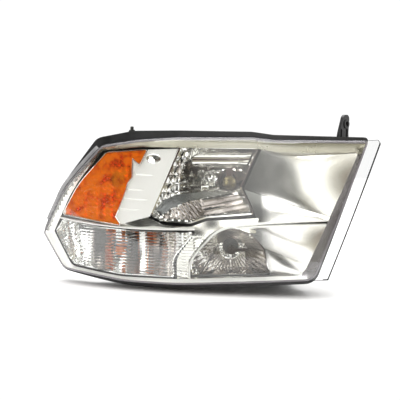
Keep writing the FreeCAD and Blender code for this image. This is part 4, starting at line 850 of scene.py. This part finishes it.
def turn_lamp():
    """The fluted clear lens of the turn lamp and the bowl behind it, its blocks painted with reflections."""
    grown = offset(rounded(TURN_LENS_EDGE, 2.0), -0.2)
    edge = rounded(TURN_EDGE, 3.0)
    pitch, bead, block = 5.0, 8.0, 26.0
    x0, z0 = TURN_AXIS

    def flute(x, z):
        v = np.mod(z / pitch, 1) * 2 - 1
        wave = 0.8 * (1 - v * v)
        u = np.mod((x + 0.6 * z) / bead, 1) * 2 - 1
        w = np.mod((z - 0.6 * x) / bead, 1) * 2 - 1
        facet = 0.9 * (1 - np.abs(u)) + 0.9 * (1 - np.abs(w))
        left = np.clip((-226.0 - x) / 4.0, 0, 1)
        return wave * (1 - left) + facet * left

    def back(x, z):
        bowl = 164.0 - ((x - x0) ** 2 + (z - z0) ** 2) / 120.0
        floor = np.minimum(face_y(x, z, 40.0), 168.0 + 0.66 * np.maximum(-208.0 - x, 0))
        u = np.mod((x - GRID_X) / block, 1) * 2 - 1
        return np.maximum(bowl, floor) - 4.5 * (1 - u * u)

    # Which painted reflection each face of the turn bowl gets, by block.
    def tint(p):
        x, z = p[:, 0], p[:, 1]
        kind = np.zeros(len(p), int)
        for left, right, low, high, which in TURN_PAINTED_REFLECTIONS:
            kind = np.where((x > left) & (x < right) & (z > low) & (z < high), which, kind)
        return kind

    lens = slab("fluted_turn_lens", grown, at(12.0), lambda x, z: face_y(x, z, 14.0) + flute(x, z),
                "flutes", step=(4.0, pitch / 8), sharp=40.0)
    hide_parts("turn_inner_lens")
    # The bowl's chrome, then the painted reflections: black for the bulb's hole, orange for the amber bulb,
    # mottled chrome.
    bowl_and_painted_reflections = "bowl gloss_black copper smoked"
    bowl = slab("turn_bowl", edge, back, behind(back, BOWL_WALL), bowl_and_painted_reflections, step=(block / 8, 4.0),
                origin=(GRID_X, 0.0), holes=[circle(x0, z0, 19.5)], marks=tint)
    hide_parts("turn_reflector")
    wall("turn_bowl_wall", edge, at(16.0), back, 2.0, "bowl", rows=5)


def cell_values(u, v, seed, low, high):
    """A fixed random number for each facet cell (u, v)."""
    table = np.random.default_rng(seed).uniform(low, high, (64, 64))
    return table[np.mod(np.floor(u).astype(int), 64), np.mod(np.floor(v).astype(int), 64)]


def beam_bowl(name, outline, axis, back, front_depth, step, marks):
    """One bowl of the moving reflector: its facets round the bulb's hole, and its wall."""
    edge = rounded(outline, 3.0)
    # The marked faces take the mottled chrome, a painted dark reflection.
    bowl = slab(name, edge, back, behind(back, BOWL_WALL), "bowl smoked", "reflector",
                holes=[circle(*axis, 14.4)], step=step, origin=axis, marks=marks)
    wall(f"{name}_wall", edge, at(front_depth), back, BOWL_WALL, "bowl", "reflector", rows=8)
    return bowl


def low_bowl():
    """The upper bowl, the smooth sickle shelf in it, the flutes below the shelf and the bulb's cup."""
    cell_x, cell_z = 12.0, 15.0

    def back(x, z):
        r2 = (x - LOW_AXIS[0]) ** 2 + (z - LOW_AXIS[1]) ** 2
        base = np.maximum(LOW_VERTEX - r2 / (4 * LOW_FOCAL), face_y(x, z, LOW_LEDGE))
        u, v = (x - LOW_AXIS[0]) / cell_x, (z - LOW_AXIS[1]) / cell_z
        a, b = np.mod(u, 1) * 2 - 1, np.mod(v, 1) * 2 - 1
        height = cell_values(u, v, 5, 0.2, 1.3)
        return base - height * (1 - a * a) * (1 - b ** 4) - 0.7 * (1 - b * b)

    # Zones of the low bowl painted with mottled dark reflections.
    def dark_reflection_zones(p):
        x, z = p[:, 0], p[:, 1]
        band = (z > 203) & (z < 214) & (x > -40)
        side = (x < -22) & (z > 192) & (z < 222) & (np.mod(np.floor((x + 60) / 7.0), 2) == 0)
        return (band | side | ((x > 40) & (z > 176))).astype(int)

    def shelf_front(x, z):
        return face_y(x, z, 43.0) - 0.16 * (z - 150.0) + 0.0009 * np.maximum(x + 60.0, 0) ** 2

    def under_front(x, z):
        across = np.mod((x + 0.8 * z) / 8.0, 1) * 2 - 1
        outboard = np.clip((-14.0 - x) / 12.0, 0, 1)
        wide = 1.6 * np.sin((z - 0.22 * x) / 4.6)
        sloped = face_y(x, z, 47.0) + 0.10 * np.maximum(x + 40.0, 0)
        return sloped - outboard * 1.3 * (1 - np.abs(across)) - (1 - outboard) * wide

    bowl = beam_bowl("low_beam_bowl", LOW_EDGE, LOW_AXIS, back, LOW_FRONT, (cell_x / 8, cell_z / 10),
                     dark_reflection_zones)
    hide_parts("beam_reflector")
    slab("low_bowl_shelf", rounded(LOW_SHELF_EDGE, 2.0), shelf_front, behind(shelf_front, PLATE),
         "satin_grey", "reflector", step=(3.0, 3.0))
    # The flutes take the mottled chrome, a painted dark reflection.
    slab("low_bowl_flutes", rounded(LOW_FLUTES_EDGE, 2.0), under_front, behind(under_front, PLATE),
         "smoked", "reflector", step=(1.5, 3.0))
    tip = LOW_VERTEX - 53.0
    cap = [(0.0, tip - 2.6), (4.5, tip - 2.3), (8.5, tip - 1.5), (11.2, tip - 0.4), (11.9, tip + 0.4),
           (11.9, tip + 3.0), (0.0, tip + 1.0)]
    turned("low_cup_cap", cap, LOW_AXIS, "bulb_tip", "reflector")
    cup_collars()


def cup_collars():
    """The two raised collars on the lying cup above the low bulb: arcs about a line along X."""
    centre_y, centre_z, reach, sink = 130.6, 224.5, 13.5, -0.3
    angles = np.linspace(-1.35, 1.35, 25)

    def arc(x, radius):
        return np.stack([np.full(len(angles), x), centre_y - radius * np.cos(angles),
                         centre_z + radius * np.sin(angles)], 1)

    for name, x0, x1, grow in (("band_collar", 9.0, 33.0, 1.3), ("band_end", 38.0, 46.0, 0.9)):
        section = ((x0, 0.1), (x0 + 0.6, grow), (x1 - 0.6, grow), (x1, 0.1), (x1, sink), (x0, sink))
        strip(name, [arc(x, reach + extra) for x, extra in section], "chrome", "reflector",
              closed=False)


def high_bowl():
    """The lower bowl with a fan of flutes round the bulb, and the dark gap beside its outboard facet."""
    flutes, ring = 44, 22.0

    def back(x, z):
        dx, dz = x - HIGH_AXIS[0], z - HIGH_AXIS[1]
        base = np.maximum(HIGH_VERTEX - (dx ** 2 + dz ** 2) / (4 * HIGH_FOCAL), face_y(x, z, HIGH_LEDGE))
        a = np.mod(np.arctan2(dz, dx) / (2 * np.pi) * flutes, 1) * 2 - 1
        r = np.sqrt(dx ** 2 + dz ** 2)
        rings = np.mod(r / ring, 1) * 2 - 1
        return base - np.clip(r / 40.0, 0.2, 1) * 1.5 * (1 - a * a) - 1.6 * (1 - rings * rings)

    # Zones of the high bowl painted with mottled dark reflections.
    def dark_reflection_zones(p):
        x, z = p[:, 0], p[:, 1]
        return (((z > 72) & (x > 10) & (x < 66)) | ((x > 60) & (z < 84))).astype(int)

    beam_bowl("high_beam_bowl", HIGH_EDGE, HIGH_AXIS, back, HIGH_FRONT, (1.6, 1.6), dark_reflection_zones)
    line = smooth_line([(11, 82), (2, 66), (-9, 47), (-19, 30)], 3.0)
    section = [(-0.9, 6.0), (-0.9, 0.0), (0.9, 0.0), (0.9, 6.0)]
    sweep("high_bowl_gap", line, section, 44.5, "gloss_black", "reflector")


def necks_and_boots():
    """The bulb necks of the reflector and the rubber boots that join them to the ports."""
    neck = [(14.2, 172.0), (NECK_R, 172.0), (NECK_R, NECK_BACK - 0.2), (14.2, NECK_BACK - 0.2)]
    waves = [(NECK_R, 179.0), (21.3, 179.0), (21.6, 187.0), (22.6, 191.5), (24.0, 193.6), (25.4, 191.5),
             (26.4, 188.5), (27.8, 186.6), (29.4, 187.4), (31.0, 188.0), (31.0, 196.5), (29.4, 196.5),
             (29.2, 190.0), (28.0, 188.6), (27.2, 190.2), (26.2, 193.4), (24.0, 195.6), (21.8, 193.4),
             (20.6, 189.0), (NECK_R, 188.5)]
    for which, axis in (("low", LOW_AXIS), ("high", HIGH_AXIS)):
        # The necks take the mottled chrome, a painted dark reflection.
        turned(f"{which}_neck", neck, axis, "smoked", "reflector")
        boot = turned(f"{which}_boot_bellows", waves, axis, "rubber", None, 96)
        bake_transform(boot)
        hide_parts(f"{which}_bulb_boot")


def back_ribs():
    """Stiffening ribs on the housing's back walls: (x0, z0, x1, z1) for each wall's depth."""
    steps = ((1.3, -0.3, 0.0), (0.8, 2.6, 2.0), (0.5, 3.0, 2.6))
    section = steps + tuple((-half, proud, cut) for half, proud, cut in reversed(steps))
    lines = [(line, y) for y, group in BACK_RIBS for line in group]
    for i, ((x0, z0, x1, z1), y) in enumerate(lines):
        start, end = np.array((x0, z0), float), np.array((x1, z1), float)
        length = np.linalg.norm(end - start)
        along = (end - start) / length
        side = np.array((-along[1], along[0]))
        loops = []
        for half, proud, cut in section:
            points = [start + along * (cut + (length - 2 * cut) * k / 6) + side * half for k in range(7)]
            loops.append(np.array([(p[0], y + proud, p[1]) for p in points]))
        strip(f"back_rib_{i + 1}", loops, "black", closed=False)


CAD_FINISH = {
    "black": "rear_housing adjuster_case low_bulb_base",
    "sealant": "lens_sealant",
    "rubber": "upper_vent_cap lower_vent_cap",
    "steel": "left_pivot_stud right_pivot_stud housing_screws adjuster_screws shield_rivets adjuster_rod",
    "dark_steel": "top_locating_pin high_bulb_base",
    "chrome": "low_beam_shield",
    # The high beam's shield takes the mottled chrome, a painted dark reflection.
    "smoked": "high_beam_shield",
    "nylon": "outboard_snap_stud left_pivot_socket right_pivot_socket adjuster_socket adjuster_drive_pinion",
    "grey_nylon": "adjuster_cover turn_socket_body marker_socket_body adjuster_crown_gear",
    "orange_seal": "low_bulb_seal high_bulb_seal turn_socket_gasket marker_socket_gasket",
    "quartz": "low_bulb_glass high_bulb_glass marker_socket_bulb",
    "amber_bulb": "turn_socket_bulb",
    "brass": "low_bulb_terminals high_bulb_terminals turn_socket_terminals marker_socket_terminals",
}


def dress_cad():
    """Materials for the CAD pieces that keep their own shape."""
    for key, nodes in CAD_FINISH.items():
        for node in nodes.split():
            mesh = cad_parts[node].data
            mesh.materials.clear()
            mesh.materials.append(MATERIALS[key])


# --- surroundings ---

class Sky(Nodes):
    """Builds the studio's surroundings from patches of light by direction."""

    def __init__(self, world):
        super().__init__(world, "ShaderNodeOutputWorld")
        self.split = self.add("ShaderNodeSeparateXYZ")
        where = self.add("ShaderNodeTexCoord")
        self.link(where.outputs["Generated"], self.split.inputs[0])

    def step(self, axis, start, end):
        """Rises from 0 to 1 as the direction's component goes from start to end."""
        node = self.add("ShaderNodeMapRange", From_Min=start, From_Max=end, _interpolation_type="SMOOTHSTEP")
        self.link(self.split.outputs[axis], node.inputs["Value"])
        return node.outputs["Result"]

    def times(self, a, b):
        node = self.add("ShaderNodeMath", _operation="MULTIPLY")
        self.link(a, node.inputs[0]).link(b, node.inputs[1])
        return node.outputs[0]

    def window(self, x_range, z_range, soft):
        """A soft-edged patch of directions."""
        (x0, x1), (z0, z1) = x_range, z_range
        across = self.times(self.step("X", x0 - soft, x0 + soft), self.step("X", x1 + soft, x1 - soft))
        up = self.times(self.step("Z", z0 - soft, z0 + soft), self.step("Z", z1 + soft, z1 - soft))
        return self.times(across, up)

    def mix(self, factor, below, colour):
        """Lays a colour, or a colour socket, over another where factor is 1."""
        node = self.add("ShaderNodeMix", _data_type="RGBA")
        self.link(factor, node.inputs["Factor"])
        for key, value in (("A", below), ("B", colour)):
            if isinstance(value, tuple):
                node.inputs[key].default_value = (*value, 1)
            else:
                self.link(value, node.inputs[key])
        return node.outputs["Result"]

    def heights(self, stops):
        """Colours by height, from straight down (-1) to straight up (1)."""
        up = self.add("ShaderNodeMapRange", From_Min=-1.0)
        self.link(self.split.outputs["Z"], up.inputs["Value"])
        node = self.add("ShaderNodeValToRGB")
        while len(node.color_ramp.elements) < len(stops):
            node.color_ramp.elements.new(0.5)
        for element, (z, colour) in zip(node.color_ramp.elements, stops):
            element.position = (z + 1) / 2
            element.color = (*colour, 1)
        self.link(up.outputs[0], node.inputs[0])
        return node.outputs["Color"]


def world_light():
    """A white backdrop all round, with a dim room, its lights and a pale table for the chrome to mirror."""
    world = bpy.data.worlds.new("studio")
    bpy.context.scene.world = world
    sky = Sky(world)
    room = sky.heights([(-1.0, (0.8, 0.8, 0.78)), (-0.4, (0.42, 0.41, 0.37)), (-0.12, (0.24, 0.235, 0.20)),
                        (0.05, (0.15, 0.145, 0.12)), (0.25, (0.09, 0.085, 0.07)), (0.42, (0.20, 0.19, 0.16)),
                        (0.6, (0.42, 0.41, 0.37)), (0.85, (0.7, 0.7, 0.67)), (1.0, (0.4, 0.4, 0.38))])
    for x_range, z_range, soft, colour in (
            ((-0.75, 0.50), (-0.5, 0.50), 0.06, (0.48, 0.44, 0.33)),
            ((-0.80, -0.47), (-0.6, 0.5), 0.05, (0.07, 0.07, 0.065)),
            ((-0.46, -0.20), (-0.24, 0.40), 0.08, (2.1, 2.1, 2.05)),
            ((-0.45, -0.10), (0.62, 0.78), 0.03, (1.8, 1.8, 1.75)),
            ((0.55, 0.72), (-0.2, 0.5), 0.03, (1.4, 1.4, 1.35)),
            ((-0.10, 0.14), (-0.22, 0.26), 0.03, (0.075, 0.045, 0.04))):
        room = sky.mix(sky.window(x_range, z_range, soft), room, colour)
    front = sky.step("Y", 0.25, -0.15)
    white = (1.06, 1.06, 1.06)
    seen = sky.add("ShaderNodeLightPath").outputs["Is Camera Ray"]
    back = sky.add("ShaderNodeBackground")
    sky.link(sky.mix(seen, sky.mix(front, white, room), white), back.inputs["Color"]).finish(back)


def floor_and_lights():
    """A pale floor that starts a little in front of the lamp, and two soft lights."""
    n = surface("pale_floor")
    shader = n.add("ShaderNodeBsdfPrincipled", Roughness=0.75)
    n.link(n.colours(n.noise(3.0), (0.93, 0.925, 0.92), (0.95, 0.945, 0.94)), shader.inputs["Base Color"])
    mesh = bpy.data.meshes.new("studio_floor")
    half, near, far = 3.0, -0.32, 2.3
    mesh.from_pydata([(-half, near, 0), (half, near, 0), (half, far, 0), (-half, far, 0)], [], [(0, 1, 2, 3)])
    mesh.materials.append(n.finish(shader))
    ground = bpy.data.objects.new("studio_floor", mesh)
    bpy.context.scene.collection.objects.link(ground)
    for name, where, size, power, aim in (("key_softbox", (-0.7, -1.4, 1.9), 1.4, 26.0, (0, 0, 0.1)),
                                          ("top_softbox", (0.0, 0.6, 2.4), 3.0, 92.0, (0, 0.3, 0))):
        data = bpy.data.lights.new(name, "AREA")
        data.size = size
        data.energy = power
        lamp = bpy.data.objects.new(name, data)
        lamp.location = where
        lamp.rotation_euler = (Vector(aim) - Vector(where)).to_track_quat("-Z", "Y").to_euler()
        bpy.context.scene.collection.objects.link(lamp)


def camera():
    """From in front and six degrees up, far enough for a near-flat view."""
    reach, tilt = 1700.0, math.radians(6)
    target = Vector(place(-21.0, 40.0, 163.0))
    data = bpy.data.cameras.new("camera")
    data.sensor_width = 36.0
    data.lens = 92.2
    item = bpy.data.objects.new("camera", data)
    item.location = target + Vector((0, -math.cos(tilt), math.sin(tilt))) * reach * MM
    item.rotation_euler = (math.pi / 2 - tilt, 0, 0)
    bpy.context.scene.collection.objects.link(item)
    bpy.context.scene.camera = item


def main():
    scene = bpy.context.scene
    scene.view_settings.view_transform = "Standard"
    scene.cycles.transparent_max_bounces = 32
    scene.cycles.glossy_bounces = 8
    camera()
    world_light()
    floor_and_lights()
    for build in (dress_cad, lens_cover, lens_foot, bezel, ridges, inboard_panels, amber_marker,
                  satin_panel, turn_lamp, low_bowl, high_bowl, necks_and_boots, back_ribs):
        build()


main()
